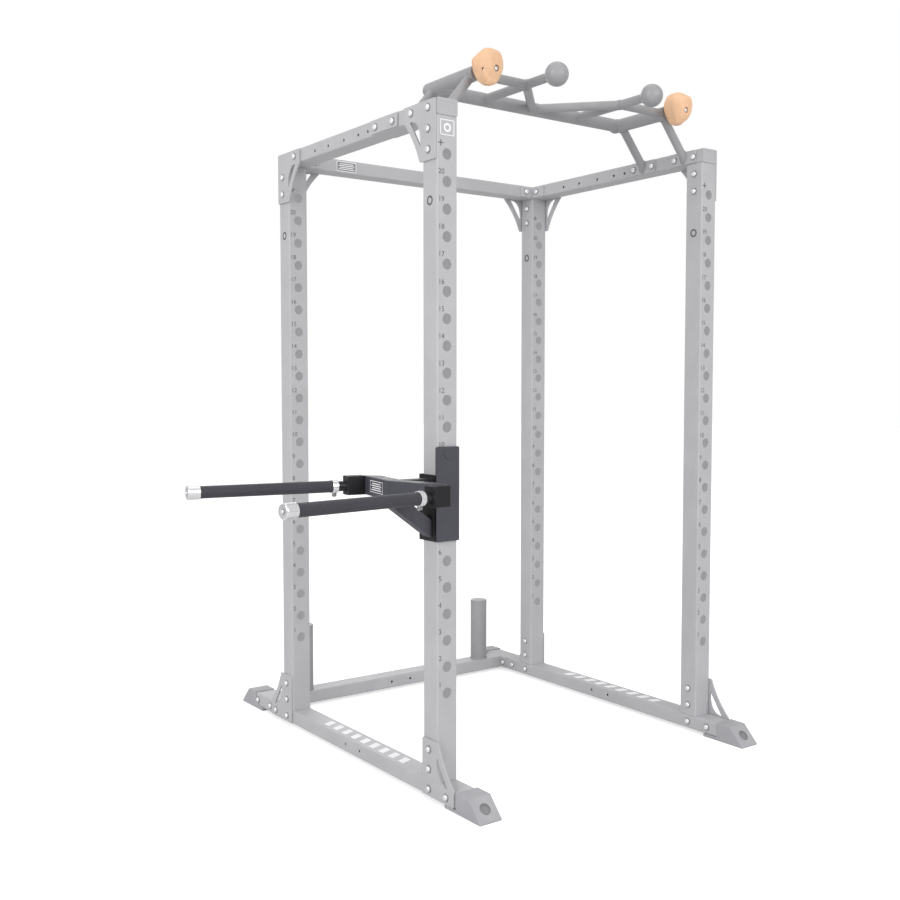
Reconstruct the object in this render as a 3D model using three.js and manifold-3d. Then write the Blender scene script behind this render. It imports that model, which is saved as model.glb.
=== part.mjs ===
// Power rack with a twist-lock dip station and a multi-grip pull-up frame.
// Millimetres, +Z up. +X runs from the left uprights to the right ones, +Y from front to back.
import * as THREE from 'three';
import { mergeVertices } from 'three/addons/utils/BufferGeometryUtils.js';
import Module from 'manifold-3d';

const wasm = await Module();
wasm.setup();

// ---------------------------------------------------------------- driving dimensions
const GAP = 0.3;                // clearance left between pieces that touch
const WALL = 3;                 // wall of every square and round tube
const WIDTH = 1250;             // rack over its uprights, X
const DEPTH = 1020;             // rack over its uprights, Y
const POST = 75;                // side of an upright
const RAIL = 50;                // height of every horizontal rail
const BASE_Z = 11;              // underside of the base rails, held up by the shoes
const TOP_Z = 2098.3;           // underside of the top rails

const HOLE_RADIUS = 16.5;
const HOLE_COUNT = 21;
const HOLE_FIRST = 339.6;       // height of the lowest hole
const HOLE_PITCH = 82.2;
const HOLE_SIDES = 8;

const RAIL_FRONT = -150;        // base rail ends, inside the shoes
const RAIL_BACK = 1306;
const CROSS_BACK_Y = 1150;      // front face of the rear bottom crossmember

const GUSSET_T = 6;             // plate thickness
const GUSSET_DROP = 182;        // length along the upright
const GUSSET_REACH = 168;       // length along the rail
const GUSSET_FOOT = 84;         // width of the leg's end
const GUSSET_WAIST = [112, 107]; // control point of the hollowed diagonal edge
const CRESCENT = { top: [80, 134], bulge: [76, 52], reach: 136 };

const SHOE = { lip: -101, tongue: -42, crest: -164, toe: -221, wall: 3.2, top: 64.5, lug: 5 };
const SHOE_HOLE_RADIUS = 18;

const PEG = { radius: 36, top: 328, inset: 180 };

const GRIP_Z = 2266;            // centre height of the pull-up frame
const SIDE_TUBE = { x: 198, front: 64, back: 345, radius: 24 };
const CROSS_TUBE = { y: 305, radius: 23 };
const GRIP_TUBE = { x: 412, front: -84, radius: 15 };
const FRONT_TUBE_Y = 78;
const BALL = { y: -70, radius: 38 };
const HOLD = { y: 8, z: 2268.5, halfX: 49, halfY: 50, halfZ: 57.5, back: 58 };
const LEG = { radius: 15, footZ: 2123 };
const LEG_FEET = { front: [85, 28, 150], rear: [290, 228, 352] };   // leg, plate start, plate end

const PIN_HOLE = 9;             // index of the hole that carries the dip station
const PIN = { radius: 15, headRadius: 16.5, back: 98 };
const SADDLE = { t: 6.3, clear: 2.7, low: 813, shoulder: 1017, high: 1103, lip: 36 };
const BEAM = { low: 945, high: 1005, apexX: -154, depth: 50, sweep: 12.5, frontHalf: 227, backHalf: 175 };
const STRUT = 45;               // width of the neck and the brace
const ARM = { rootX: -163, halfSpan: 232, z: 973, splay: 8.3, length: 502, radius: 16 };
const GRIP = { from: 48, to: 464, radius: 19 };
const COLLAR = { from: 28, radius: 21.5 };
const SOCKET = { width: 44, length: 60, bore: 46 };

// ---------------------------------------------------------------- finishes
const finish = (color, roughness, metalness) => new THREE.MeshStandardMaterial({ color, roughness, metalness });
const FINISH = {
  frame: finish(0xb9b9bd, 0.5, 0.3),
  dark: finish(0x9c9c9e, 0.45, 0.3),
  shoe: finish(0xb0b0b3, 0.7, 0),
  hold: finish(0xf4ce9f, 0.8, 0),
  black: finish(0x2c2c32, 0.5, 0.3),
  grip: finish(0x26262b, 0.85, 0),
  chrome: finish(0xe9e9ee, 0.12, 1),
  liner: finish(0x1a1a1c, 0.6, 0),
};

// ---------------------------------------------------------------- solids
function solidOf(geometry) {
  const bare = geometry.clone();
  bare.deleteAttribute('normal');
  bare.deleteAttribute('uv');
  const merged = mergeVertices(bare, 1e-3);
  return new wasm.Manifold(new wasm.Mesh({
    numProp: 3,
    vertProperties: new Float32Array(merged.attributes.position.array),
    triVerts: new Uint32Array(merged.index.array),
  }));
}

function geometryOf(solid) {
  const mesh = solid.getMesh();
  const geometry = new THREE.BufferGeometry();
  geometry.setAttribute('position', new THREE.BufferAttribute(mesh.vertProperties, 3));
  geometry.setIndex(new THREE.BufferAttribute(mesh.triVerts, 1));
  return geometry;
}

const join = (...parts) => geometryOf(parts.map(solidOf).reduce((a, b) => a.add(b)));
const cut = (body, ...tools) => geometryOf(tools.map(solidOf).reduce((a, b) => a.subtract(b), solidOf(body)));
const common = (a, b) => geometryOf(solidOf(a).intersect(solidOf(b)));

const box = ([x0, x1], [y0, y1], [z0, z1]) =>
  new THREE.BoxGeometry(x1 - x0, y1 - y0, z1 - z0).translate((x0 + x1) / 2, (y0 + y1) / 2, (z0 + z1) / 2);

const outline = (points) => new THREE.Shape(points.map(([u, v]) => new THREE.Vector2(u, v)));
const extrude = (shape, depth) =>
  new THREE.ExtrudeGeometry(shape, { depth, bevelEnabled: false, curveSegments: 5 });

// Turns a shape drawn in (u, v) and extruded along w so that u, v and w lie along the given axes.
const AXIS = { x: new THREE.Vector3(1, 0, 0), y: new THREE.Vector3(0, 1, 0), z: new THREE.Vector3(0, 0, 1) };
const lay = (geometry, u, v, w) =>
  geometry.applyMatrix4(new THREE.Matrix4().makeBasis(AXIS[u], AXIS[v], AXIS[w]));

// A prism whose outline is drawn in plan (x, y) and stands from z0 to z1.
const prism = (points, [z0, z1]) => extrude(outline(points), z1 - z0).translate(0, 0, z0);

// A solid rod between two points.
function rod(from, to, radius, sides = 16) {
  const a = new THREE.Vector3(...from);
  const along = new THREE.Vector3(...to).sub(a);
  const turn = new THREE.Quaternion().setFromUnitVectors(AXIS.y, along.clone().normalize());
  const middle = a.clone().addScaledVector(along, 0.5);
  return new THREE.CylinderGeometry(radius, radius, along.length(), sides)
    .applyQuaternion(turn).translate(middle.x, middle.y, middle.z);
}

// A closed body turned about Y from an (r, y) profile that starts and ends on the axis or on itself.
const turned = (profile, sides = 16) =>
  new THREE.LatheGeometry(profile.map(([r, y]) => new THREE.Vector2(r, y)), sides);
const ring = (from, to, outer, inner, sides = 16) =>
  turned([[inner, from], [outer, from], [outer, to], [inner, to], [inner, from]], sides);

// A rectangular outline with rounded corners, centred on the origin.
function roundedRectangle(width, height, radius) {
  const shape = new THREE.Shape();
  const [x, y] = [width / 2 - radius, height / 2 - radius];
  [[x, y], [-x, y], [-x, -y], [x, -y]].forEach(([cx, cy], i) =>
    shape.absarc(cx, cy, radius, i * Math.PI / 2, (i + 1) * Math.PI / 2));
  return shape;
}

// A square tube drawn in (u, v) and running along w.
function tubeBar(width, height, length) {
  const shape = roundedRectangle(width, height, 4);
  const [x, y] = [width / 2 - WALL, height / 2 - WALL];
  shape.holes.push(outline([[-x, -y], [-x, y], [x, y], [x, -y]]));
  return new THREE.ExtrudeGeometry(shape, { depth: length, bevelEnabled: false, curveSegments: 2 });
}

// ---------------------------------------------------------------- the frame
function upright() {
  const foot = BASE_Z + RAIL + GAP;
  const tube = tubeBar(POST, POST, TOP_Z - GAP - foot).translate(POST / 2, POST / 2, foot);
  const holes = Array.from({ length: HOLE_COUNT }, (_, i) => {
    const z = HOLE_FIRST + i * HOLE_PITCH;
    return rod([POST / 2, -5, z], [POST / 2, POST + 5, z], HOLE_RADIUS, HOLE_SIDES);
  });
  return cut(tube, ...holes);
}

const baseRail = () =>
  lay(tubeBar(RAIL, POST, RAIL_BACK - RAIL_FRONT), 'z', 'x', 'y')
    .translate(POST / 2, RAIL_FRONT, BASE_Z + RAIL / 2);

const topRail = () =>
  lay(tubeBar(RAIL, POST, DEPTH - 2 * GAP), 'z', 'x', 'y').translate(POST / 2, GAP, TOP_Z + RAIL / 2);

const crossmember = (y, z) =>
  lay(tubeBar(POST, RAIL, WIDTH - 2 * (POST + GAP)), 'y', 'z', 'x').translate(POST + GAP, y + POST / 2, z + RAIL / 2);

// The moulded cap that closes the front end of a top rail.
function railCap() {
  const face = box([0, POST], [-3, 0], [TOP_Z, TOP_Z + RAIL]);
  const inset = WALL + GAP;
  const plug = box([inset, POST - inset], [-1, 22], [TOP_Z + inset, TOP_Z + RAIL - inset]);
  return join(face, plug);
}

// A corner plate in (u, v): u runs along the rail, v along the upright, and the origin is their outer corner.
// A crescent opening separates the diagonal edge from the upright's leg.
function cornerPlate() {
  const inset = 2;
  const shape = new THREE.Shape();
  shape.moveTo(inset, inset);
  shape.lineTo(GUSSET_REACH, inset);
  shape.lineTo(GUSSET_REACH, RAIL + inset);
  shape.quadraticCurveTo(...GUSSET_WAIST, GUSSET_FOOT, GUSSET_DROP);
  shape.lineTo(inset, GUSSET_DROP);
  const slot = new THREE.Path();
  slot.moveTo(...CRESCENT.top);
  slot.quadraticCurveTo(...CRESCENT.bulge, CRESCENT.reach, RAIL + inset);
  slot.lineTo(...CRESCENT.top);
  shape.holes.push(slot);
  return extrude(shape, GUSSET_T);
}

// Puts a corner plate against the face whose outward direction is given, as a closed body.
function gusset(corner, u, v, outward) {
  const basis = new THREE.Matrix4().makeBasis(
    new THREE.Vector3(...u), new THREE.Vector3(...v), new THREE.Vector3(...outward));
  const plate = cornerPlate();
  if (basis.determinant() < 0) plate.index ? plate.index.array.reverse() : flip(plate);
  const away = new THREE.Vector3(...outward).multiplyScalar(GAP);
  return plate.applyMatrix4(basis).translate(corner[0] + away.x, corner[1] + away.y, corner[2] + away.z);
}

// Reverses the winding of a geometry that is about to be mirrored.
function flip(geometry) {
  const { array } = geometry.attributes.position;
  for (let i = 0; i < array.length; i += 9) {
    for (let k = 0; k < 3; k += 1) {
      [array[i + k], array[i + 6 + k]] = [array[i + 6 + k], array[i + k]];
    }
  }
}

// A sloped shoe over the front end of a base rail; its tongue runs on under the rail.
function shoe() {
  const { lip, tongue, crest, toe, wall, top, lug } = SHOE;
  const side = [[tongue, 0], [tongue, BASE_Z - GAP], [lip, BASE_Z - GAP], [lip, top], [crest, top], [toe, lug], [toe, 0]];
  const width = POST + 2 * wall + 2 * GAP;
  const block = lay(extrude(outline(side.reverse()), width), 'y', 'z', 'x').translate(-wall - GAP, 0, 0);
  const socket = box([-GAP, POST + GAP], [RAIL_FRONT - GAP, 0], [BASE_Z - GAP, BASE_Z + RAIL + GAP]);
  const slope = new THREE.Vector3(0, lug - top, crest - toe).normalize();
  const middle = new THREE.Vector3(POST / 2, (crest + toe) / 2, (top + lug) / 2);
  const deep = middle.clone().addScaledVector(slope, -16);
  const proud = middle.clone().addScaledVector(slope, 10);
  return cut(block, socket, rod(deep.toArray(), proud.toArray(), SHOE_HOLE_RADIUS));
}

// A storage peg standing on the rear crossmember, as wide as it.
function peg() {
  const y = CROSS_BACK_Y + POST / 2;
  const low = BASE_Z + RAIL + GAP;
  const { radius, top, inset } = PEG;
  const profile = [
    [0, low], [radius, low], [radius, top - 4], [radius - 4, top], [0, top],
  ];
  return lay(turned(profile), 'x', 'z', 'y').scale(1, -1, 1).translate(inset, y, 0);
}

// ---------------------------------------------------------------- the pull-up frame
const level = (x, y) => [x, y, GRIP_Z];
const hollow = (from, to, radius) => cut(rod(from, to, radius), rod(from, to, radius - WALL));

// Side tube: open at the front behind the hold, domed at the back.
function sideTube() {
  const { x, front, back, radius } = SIDE_TUBE;
  const dome = new THREE.SphereGeometry(radius, 16, 10).translate(x, back - radius, GRIP_Z);
  const outer = join(rod(level(x, front), level(x, back - radius), radius), dome);
  return cut(outer, rod(level(x, front - 5), level(x, back - radius), radius - WALL));
}

const sideClear = (x) => rod(level(x, 0), level(x, 400), SIDE_TUBE.radius + GAP);
const crossClear = () => rod(level(0, CROSS_TUBE.y), level(WIDTH, CROSS_TUBE.y), CROSS_TUBE.radius + GAP);
const gripClear = () => rod(level(GRIP_TUBE.x, -100), level(GRIP_TUBE.x, 400), GRIP_TUBE.radius + GAP);

const crossTube = () => {
  const { x } = SIDE_TUBE;
  const through = hollow(level(x, CROSS_TUBE.y), level(WIDTH - x, CROSS_TUBE.y), CROSS_TUBE.radius);
  return cut(through, sideClear(x), sideClear(WIDTH - x));
};

const gripTube = () => cut(
  hollow(level(GRIP_TUBE.x, GRIP_TUBE.front), level(GRIP_TUBE.x, CROSS_TUBE.y), GRIP_TUBE.radius), crossClear());

const frontTube = () => cut(
  hollow(level(SIDE_TUBE.x, FRONT_TUBE_Y), level(GRIP_TUBE.x, FRONT_TUBE_Y), GRIP_TUBE.radius),
  sideClear(SIDE_TUBE.x), gripClear());

// The two inner struts meet in a V at the middle of the cross tube.
function innerStruts() {
  const middle = level(WIDTH / 2, CROSS_TUBE.y - 4);
  const left = level(GRIP_TUBE.x, FRONT_TUBE_Y);
  const right = level(WIDTH - GRIP_TUBE.x, FRONT_TUBE_Y);
  const body = join(rod(left, middle, GRIP_TUBE.radius), rod(right, middle, GRIP_TUBE.radius));
  const bore = GRIP_TUBE.radius - WALL;
  const clearances = [crossClear(), gripClear(), gripClear().translate(WIDTH - 2 * GRIP_TUBE.x, 0, 0)];
  return cut(body, rod(left, middle, bore), rod(right, middle, bore), ...clearances);
}

// A leg leans out from the side tube to a plate bolted on the inner face of the top rail.
function leg([y, plateFrom, plateTo]) {
  const inner = POST + GAP;
  const top = [SIDE_TUBE.x, y, GRIP_Z];
  const foot = [inner, y, LEG.footZ];
  const plate = box([inner, inner + GUSSET_T], [plateFrom, plateTo], [TOP_Z + 2, TOP_Z + RAIL - 2]);
  const trimmed = common(rod(top, [inner - 15, y, LEG.footZ - 19], LEG.radius), box([inner, 400], [0, 400], [2000, 2400]));
  return cut(join(plate, trimmed), rod(top, [foot[0] + 14, y, foot[2] + 18], LEG.radius - WALL), sideClear(SIDE_TUBE.x));
}

const ballEnd = () => cut(
  new THREE.SphereGeometry(BALL.radius, 18, 12).translate(GRIP_TUBE.x, BALL.y, GRIP_Z),
  rod(level(GRIP_TUBE.x, GRIP_TUBE.front - GAP), level(GRIP_TUBE.x, 50), GRIP_TUBE.radius + GAP));

const climbingHold = () => common(
  new THREE.SphereGeometry(1, 16, 12).scale(HOLD.halfX, HOLD.halfY, HOLD.halfZ).translate(SIDE_TUBE.x, HOLD.y, HOLD.z),
  box([0, 400], [-100, Math.min(HOLD.back, SIDE_TUBE.front - GAP)], [2100, 2500]));

// ---------------------------------------------------------------- the dip station
const pinHeight = HOLE_FIRST + PIN_HOLE * HOLE_PITCH;
const outerFace = SADDLE.clear + SADDLE.t;

// A channel in plan that wraps the front, left and back faces of an upright at the given distances.
const channel = (near, far, right, lip) => [
  [-far, -far], [right, -far], [right, -near], [-near, -near],
  [-near, POST + near], [lip, POST + near], [lip, POST + far], [-far, POST + far],
];

function saddle() {
  const { clear, low, shoulder, high, lip } = SADDLE;
  const body = prism(channel(clear, outerFace, POST + 2, lip), [low, shoulder]);
  const tall = box([-outerFace, POST + 2], [-outerFace, -clear], [shoulder - 1, high]);
  const seat = rod([POST / 2, -30, pinHeight], [POST / 2, 10, pinHeight], PIN.radius + GAP);
  return cut(join(body, tall), seat);
}

const saddleLiner = () =>
  prism(channel(GAP, SADDLE.clear - GAP, POST - 2, SADDLE.lip - 2), [SADDLE.low + 7, SADDLE.shoulder - 7]);

function lockPin() {
  const { radius, headRadius, back } = PIN;
  const head = -outerFace - 3;
  const profile = [
    [0, head], [headRadius - 1.5, head], [headRadius, head + 1.5], [headRadius, -outerFace - GAP],
    [radius, -outerFace - GAP], [radius, back - 12], [radius - 5, back - 3], [0, back],
  ];
  return turned(profile).translate(POST / 2, 0, pinHeight);
}

// Half the beam's outline, as distances out from the apex; the ends are cut back behind the sockets.
const sweep = Math.tan(THREE.MathUtils.degToRad(BEAM.sweep));
function beamPlan(grow = 0) {
  const backX = BEAM.apexX + BEAM.depth / Math.cos(THREE.MathUtils.degToRad(BEAM.sweep));
  const half = [
    [BEAM.apexX + BEAM.frontHalf * sweep - grow / 3, BEAM.frontHalf + 2 * grow],
    [backX + BEAM.backHalf * sweep + grow, BEAM.backHalf + grow],
  ];
  const [front, back] = half;
  const middle = POST / 2;
  return [
    [BEAM.apexX - grow, middle], [front[0], middle - front[1]], [back[0], middle - back[1]],
    [backX + grow, middle], [back[0], middle + back[1]], [front[0], middle + front[1]],
  ];
}

function beam() {
  const { low, high } = BEAM;
  return prism(beamPlan(), [low, high]);
}

function neck() {
  const { low, high } = BEAM;
  const [near, far] = [(POST - STRUT) / 2, (POST + STRUT) / 2];
  const body = box([BEAM.apexX, -outerFace - GAP], [near, far], [low, high]);
  const bore = box([BEAM.apexX - 5, 0], [near + 4, far - 4], [low + 4, high - 4]);
  const behind = prism(beamPlan(GAP), [low - 5, high + 5]);
  const trimmed = cut(body, behind);
  const front = box([-400, BEAM.apexX + BEAM.depth], [-400, 400], [800, 1100]);
  return cut(trimmed, bore, front);
}

// The brace climbs from the foot of the saddle to the underside of the beam.
function brace() {
  const [plateX, noseX] = [-outerFace - GAP, BEAM.apexX + 6];
  const [foot, rise] = [SADDLE.low + 11, 0.721];
  const top = BEAM.low - GAP;
  const depth = STRUT / Math.cos(Math.atan(rise));
  const side = (inset, endX) => [
    [noseX, foot + inset + (plateX - noseX) * rise], [endX, foot + inset - (endX - plateX) * rise],
    [endX, foot + depth - inset - (endX - plateX) * rise],
    [plateX - (top - foot - depth + inset) / rise, top], [noseX, top],
  ];
  const slab = (points, [y0, y1]) =>
    lay(extrude(outline(points), y1 - y0), 'x', 'z', 'y').scale(1, -1, 1).translate(0, y1, 0);
  const [near, far] = [(POST - STRUT) / 2, (POST + STRUT) / 2];
  const bore = side(5, plateX + 10).map(([x, z]) => [Math.max(x, noseX + 5), Math.min(z, top - 5)]);
  return cut(slab(side(0, plateX), [near, far]), slab(bore, [near + 4, far - 4]));
}

// Each arm is made lying along +Y from its socket's face, then turned and placed by this matrix.
// side is -1 for the front arm and +1 for the back arm.
function armPlace(side) {
  const splay = THREE.MathUtils.degToRad(ARM.splay);
  const along = new THREE.Vector3(-Math.cos(splay), side * Math.sin(splay), 0);
  const across = new THREE.Vector3().crossVectors(along, AXIS.z);
  const matrix = new THREE.Matrix4().makeBasis(across, along, AXIS.z);
  return matrix.setPosition(ARM.rootX, POST / 2 + side * ARM.halfSpan, ARM.z);
}

const socketTop = () => [BEAM.low - ARM.z, BEAM.high - ARM.z];

function socket(side) {
  const place = armPlace(side);
  const half = SOCKET.width / 2;
  const block = box([-half, half], [-SOCKET.length, 0], socketTop());
  const bored = cut(block, rod([0, -SOCKET.bore - GAP, 0], [0, 5, 0], ARM.radius + GAP));
  return cut(bored.applyMatrix4(place), prism(beamPlan(GAP), [BEAM.low - 5, BEAM.high + 5]));
}

const armParts = {
  arm: [() => turned([[0, -SOCKET.bore], [ARM.radius, -SOCKET.bore], [ARM.radius, ARM.length - 14], [0, ARM.length - 14]]),
    'black'],
  collar: [() => ring(COLLAR.from, GRIP.from - GAP, COLLAR.radius, ARM.radius + GAP), 'chrome'],
  grip: [() => ring(GRIP.from, GRIP.to - GAP, GRIP.radius, ARM.radius + GAP), 'grip'],
  end_cap: [() => turned([
    [ARM.radius + GAP, GRIP.to], [COLLAR.radius, GRIP.to], [COLLAR.radius, ARM.length - 3],
    [COLLAR.radius - 3, ARM.length], [0, ARM.length], [0, ARM.length - 14 + GAP],
    [ARM.radius + GAP, ARM.length - 14 + GAP], [ARM.radius + GAP, GRIP.to],
  ]), 'chrome'],
};

// ---------------------------------------------------------------- assembly
const rack = new THREE.Group();
const add = (name, geometry, material) => {
  const mesh = new THREE.Mesh(geometry, material.clone());
  mesh.name = name;
  rack.add(mesh);
  return mesh;
};

// Mirrored copies keep their faces outward because the geometry itself is rebuilt by the boolean kernel.
const mirrored = (geometry, x, y) => geometryOf(solidOf(geometry).mirror(x ? [1, 0, 0] : [0, 1, 0])
  .translate(x ? [WIDTH, 0, 0] : [0, y, 0]));
const mirrorX = (geometry) => mirrored(geometry, true, 0);
const mirrorY = (geometry, sum) => mirrored(geometry, false, sum);

for (const [row, y] of [['front', 0], ['rear', DEPTH - POST]]) {
  for (const [side, x] of [['left', 0], ['right', WIDTH - POST]]) {
    add(`upright_${row}_${side}`, upright(), FINISH.frame).position.set(x, y, 0);
  }
}

const shoeSum = RAIL_FRONT + RAIL_BACK;
for (const [side, x] of [['left', 0], ['right', WIDTH - POST]]) {
  add(`base_rail_${side}`, baseRail(), FINISH.frame).position.x = x;
  add(`top_rail_${side}`, topRail(), FINISH.frame).position.x = x;
  add(`top_rail_cap_${side}`, railCap(), FINISH.frame).position.x = x;
  add(`shoe_front_${side}`, shoe(), FINISH.shoe).position.x = x;
  add(`shoe_rear_${side}`, mirrorY(shoe(), shoeSum), FINISH.shoe).position.x = x;
}

add('crossmember_top_rear', crossmember(DEPTH - POST, TOP_Z), FINISH.frame);
add('crossmember_bottom_rear', crossmember(CROSS_BACK_Y, BASE_Z), FINISH.frame);

const topCorner = TOP_Z + RAIL;
const lowCorner = BASE_Z;
for (const [side, x, out] of [['left', 0, -1], ['right', WIDTH, 1]]) {
  const outward = [out, 0, 0];
  add(`gusset_top_front_${side}`, gusset([x, 0, topCorner], [0, 1, 0], [0, 0, -1], outward), FINISH.frame);
  add(`gusset_top_rear_${side}`, gusset([x, DEPTH, topCorner], [0, -1, 0], [0, 0, -1], outward), FINISH.frame);
  add(`gusset_base_front_${side}`, gusset([x, POST, lowCorner], [0, -1, 0], [0, 0, 1], outward), FINISH.frame);
  add(`gusset_base_rear_${side}`, gusset([x, DEPTH - POST, lowCorner], [0, 1, 0], [0, 0, 1], outward), FINISH.frame);
  add(`gusset_back_${side}`, gusset([x, DEPTH, topCorner], [-out, 0, 0], [0, 0, -1], [0, 1, 0]), FINISH.frame);
}

const pairs = {
  storage_peg: [peg, FINISH.dark],
  pullup_side_tube: [sideTube, FINISH.dark],
  pullup_grip_tube: [gripTube, FINISH.dark],
  pullup_front_tube: [frontTube, FINISH.dark],
  pullup_leg_front: [() => leg(LEG_FEET.front), FINISH.dark],
  pullup_leg_rear: [() => leg(LEG_FEET.rear), FINISH.dark],
  pullup_ball: [ballEnd, FINISH.dark],
  climbing_hold: [climbingHold, FINISH.hold],
};
for (const [name, [make, material]] of Object.entries(pairs)) {
  add(`${name}_left`, make(), material);
  add(`${name}_right`, mirrorX(make()), material);
}
add('pullup_cross_tube', crossTube(), FINISH.dark);
add('pullup_inner_struts', innerStruts(), FINISH.dark);

add('dip_saddle', saddle(), FINISH.black);
add('dip_saddle_liner', saddleLiner(), FINISH.liner);
add('dip_lock_pin', lockPin(), FINISH.black);
add('dip_beam', beam(), FINISH.black);
add('dip_neck', neck(), FINISH.black);
add('dip_brace', brace(), FINISH.black);
for (const [row, side] of [['front', -1], ['rear', 1]]) {
  add(`dip_socket_${row}`, socket(side), FINISH.black);
  for (const [name, [make, material]] of Object.entries(armParts)) {
    add(`dip_${name}_${row}`, make().applyMatrix4(armPlace(side)), FINISH[material]);
  }
}

// The origin is on the floor, under the middle of the whole rack's box.
const bounds = new THREE.Box3().setFromObject(rack);
const centre = bounds.getCenter(new THREE.Vector3());
rack.position.set(-centre.x, -centre.y, -bounds.min.z);

const tower = new THREE.Group();
tower.add(rack);

export default tower;
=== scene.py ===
"""Power rack with a multi-grip pull-up frame and a swing-up dip station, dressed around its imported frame."""

import logging
import math
from dataclasses import dataclass
from enum import Enum
from typing import Callable, Sequence

import bmesh
import bpy
from mathutils import Matrix, Vector, noise


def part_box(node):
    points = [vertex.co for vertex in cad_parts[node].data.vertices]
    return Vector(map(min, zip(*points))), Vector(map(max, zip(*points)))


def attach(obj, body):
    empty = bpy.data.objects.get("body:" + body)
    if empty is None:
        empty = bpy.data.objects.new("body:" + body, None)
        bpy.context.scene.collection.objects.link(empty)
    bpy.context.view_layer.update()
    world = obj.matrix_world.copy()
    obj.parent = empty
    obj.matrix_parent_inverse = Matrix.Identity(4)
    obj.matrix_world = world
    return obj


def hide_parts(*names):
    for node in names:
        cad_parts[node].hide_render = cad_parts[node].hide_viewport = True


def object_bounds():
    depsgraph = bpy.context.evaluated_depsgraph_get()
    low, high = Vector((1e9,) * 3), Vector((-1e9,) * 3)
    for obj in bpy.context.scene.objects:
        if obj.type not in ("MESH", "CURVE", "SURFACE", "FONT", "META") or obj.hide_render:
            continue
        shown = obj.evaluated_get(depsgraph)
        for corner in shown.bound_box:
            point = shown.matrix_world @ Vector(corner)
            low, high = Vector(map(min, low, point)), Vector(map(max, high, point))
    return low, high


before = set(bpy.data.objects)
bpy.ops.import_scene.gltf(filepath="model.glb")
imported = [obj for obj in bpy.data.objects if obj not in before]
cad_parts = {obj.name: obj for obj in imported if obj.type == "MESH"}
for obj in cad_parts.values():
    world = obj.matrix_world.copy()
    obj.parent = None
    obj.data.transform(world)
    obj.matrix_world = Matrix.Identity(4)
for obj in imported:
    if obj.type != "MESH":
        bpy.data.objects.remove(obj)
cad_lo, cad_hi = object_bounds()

LOG = logging.getLogger("power_rack")
MM = 0.001  # a millimetre in the frame's metres
GAP = 0.3  # between pieces that touch
WALL = 3.0  # of every square tube
SHARP = math.radians(32)  # from this angle on, an edge is bevelled and shaded as an edge
HEXAGON = 6
WRAP = "wrap"  # the UV layer with the turn and the height of a turned body

Point = tuple[float, float, float]
Outline = Sequence[tuple[float, float]]
Ring = list[bmesh.types.BMVert]

TO_RIGHT, TO_BACK, UP = (1, 0, 0), (0, 1, 0), (0, 0, 1)
TO_LEFT, TO_FRONT, DOWN = (-1, 0, 0), (0, -1, 0), (0, 0, -1)
AS_MADE = Matrix.Identity(4)


class Body(Enum):
    """The rigid bodies that pieces ride on."""

    RACK = "rack"
    DIP = "dip_station"


class Slot(Enum):
    """The record's material slots."""

    FRAME = "frame_paint"
    DARK = "dark_paint"
    SHOE = "shoe_plastic"
    HOLD = "hold_resin"
    BLACK = "black_paint"
    RUBBER = "grip_rubber"
    CHROME = "chrome_plate"
    LINER = "liner_plastic"


# ------------------------------------------------------------------ the rack's own coordinates
@dataclass(frozen=True)
class Datum:
    """The rack's millimetre coordinates: X right, Y back, Z up, from the front left upright's foot."""

    origin: Vector
    width: float
    depth: float
    post: float
    top: float
    rail: float

    @classmethod
    def from_frame(cls) -> "Datum":
        """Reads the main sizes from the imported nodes."""
        near_lo, near_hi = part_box("upright_front_left")
        far_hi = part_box("upright_front_right")[1]
        back_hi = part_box("upright_rear_left")[1]
        rail_lo, rail_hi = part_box("top_rail_left")
        return cls(
            origin=Vector((near_lo.x, near_lo.y, 0)),
            width=(far_hi.x - near_lo.x) / MM,
            depth=(back_hi.y - near_lo.y) / MM,
            post=(near_hi.x - near_lo.x) / MM,
            top=rail_lo.z / MM,
            rail=(rail_hi.z - rail_lo.z) / MM,
        )

    def matrix(self) -> Matrix:
        """Rack millimetres to the frame's metres."""
        return Matrix.Translation(self.origin) @ Matrix.Scale(MM, 4)

    def span(self, node: str) -> tuple[Vector, Vector]:
        """A node's lowest and highest corners in rack millimetres."""
        lo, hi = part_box(node)
        return (lo - self.origin) / MM, (hi - self.origin) / MM


DATUM = Datum.from_frame()
MIDDLE = DATUM.post / 2


class Side(Enum):
    """Left pieces are made as they are and right ones are mirrored across the rack."""

    LEFT = "left"
    RIGHT = "right"

    def matrix(self) -> Matrix:
        """The transform that takes a left piece to this side."""
        if self is Side.LEFT:
            return AS_MADE
        return Matrix.Translation((DATUM.width, 0, 0)) @ Matrix.Diagonal((-1, 1, 1, 1))


class Row(Enum):
    """Front pieces are made as they are and rear ones are mirrored across a plane of constant Y."""

    FRONT = "front"
    REAR = "rear"

    def matrix(self, total: float) -> Matrix:
        """The transform that takes a front piece to this row.

        Args:
            total: the sum of the Y positions of a front point and its rear image.
        """
        if self is Row.FRONT:
            return AS_MADE
        return Matrix.Translation((0, total, 0)) @ Matrix.Diagonal((1, -1, 1, 1))


def axes(origin: Point, u: Point, v: Point, w: Point) -> Matrix:
    """A matrix whose columns are the given directions, placed at origin."""
    matrix = Matrix.Identity(4)
    for index, direction in enumerate((u, v, w)):
        matrix.col[index] = Vector((*direction, 0))
    matrix.col[3] = Vector((*origin, 1))
    return matrix


def aim(origin: Sequence[float], direction: Sequence[float]) -> Matrix:
    """A matrix that turns +Z to a direction and starts at origin."""
    turn = Vector(UP).rotation_difference(Vector(direction))
    return Matrix.Translation(Vector(origin)) @ turn.to_matrix().to_4x4()


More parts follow.
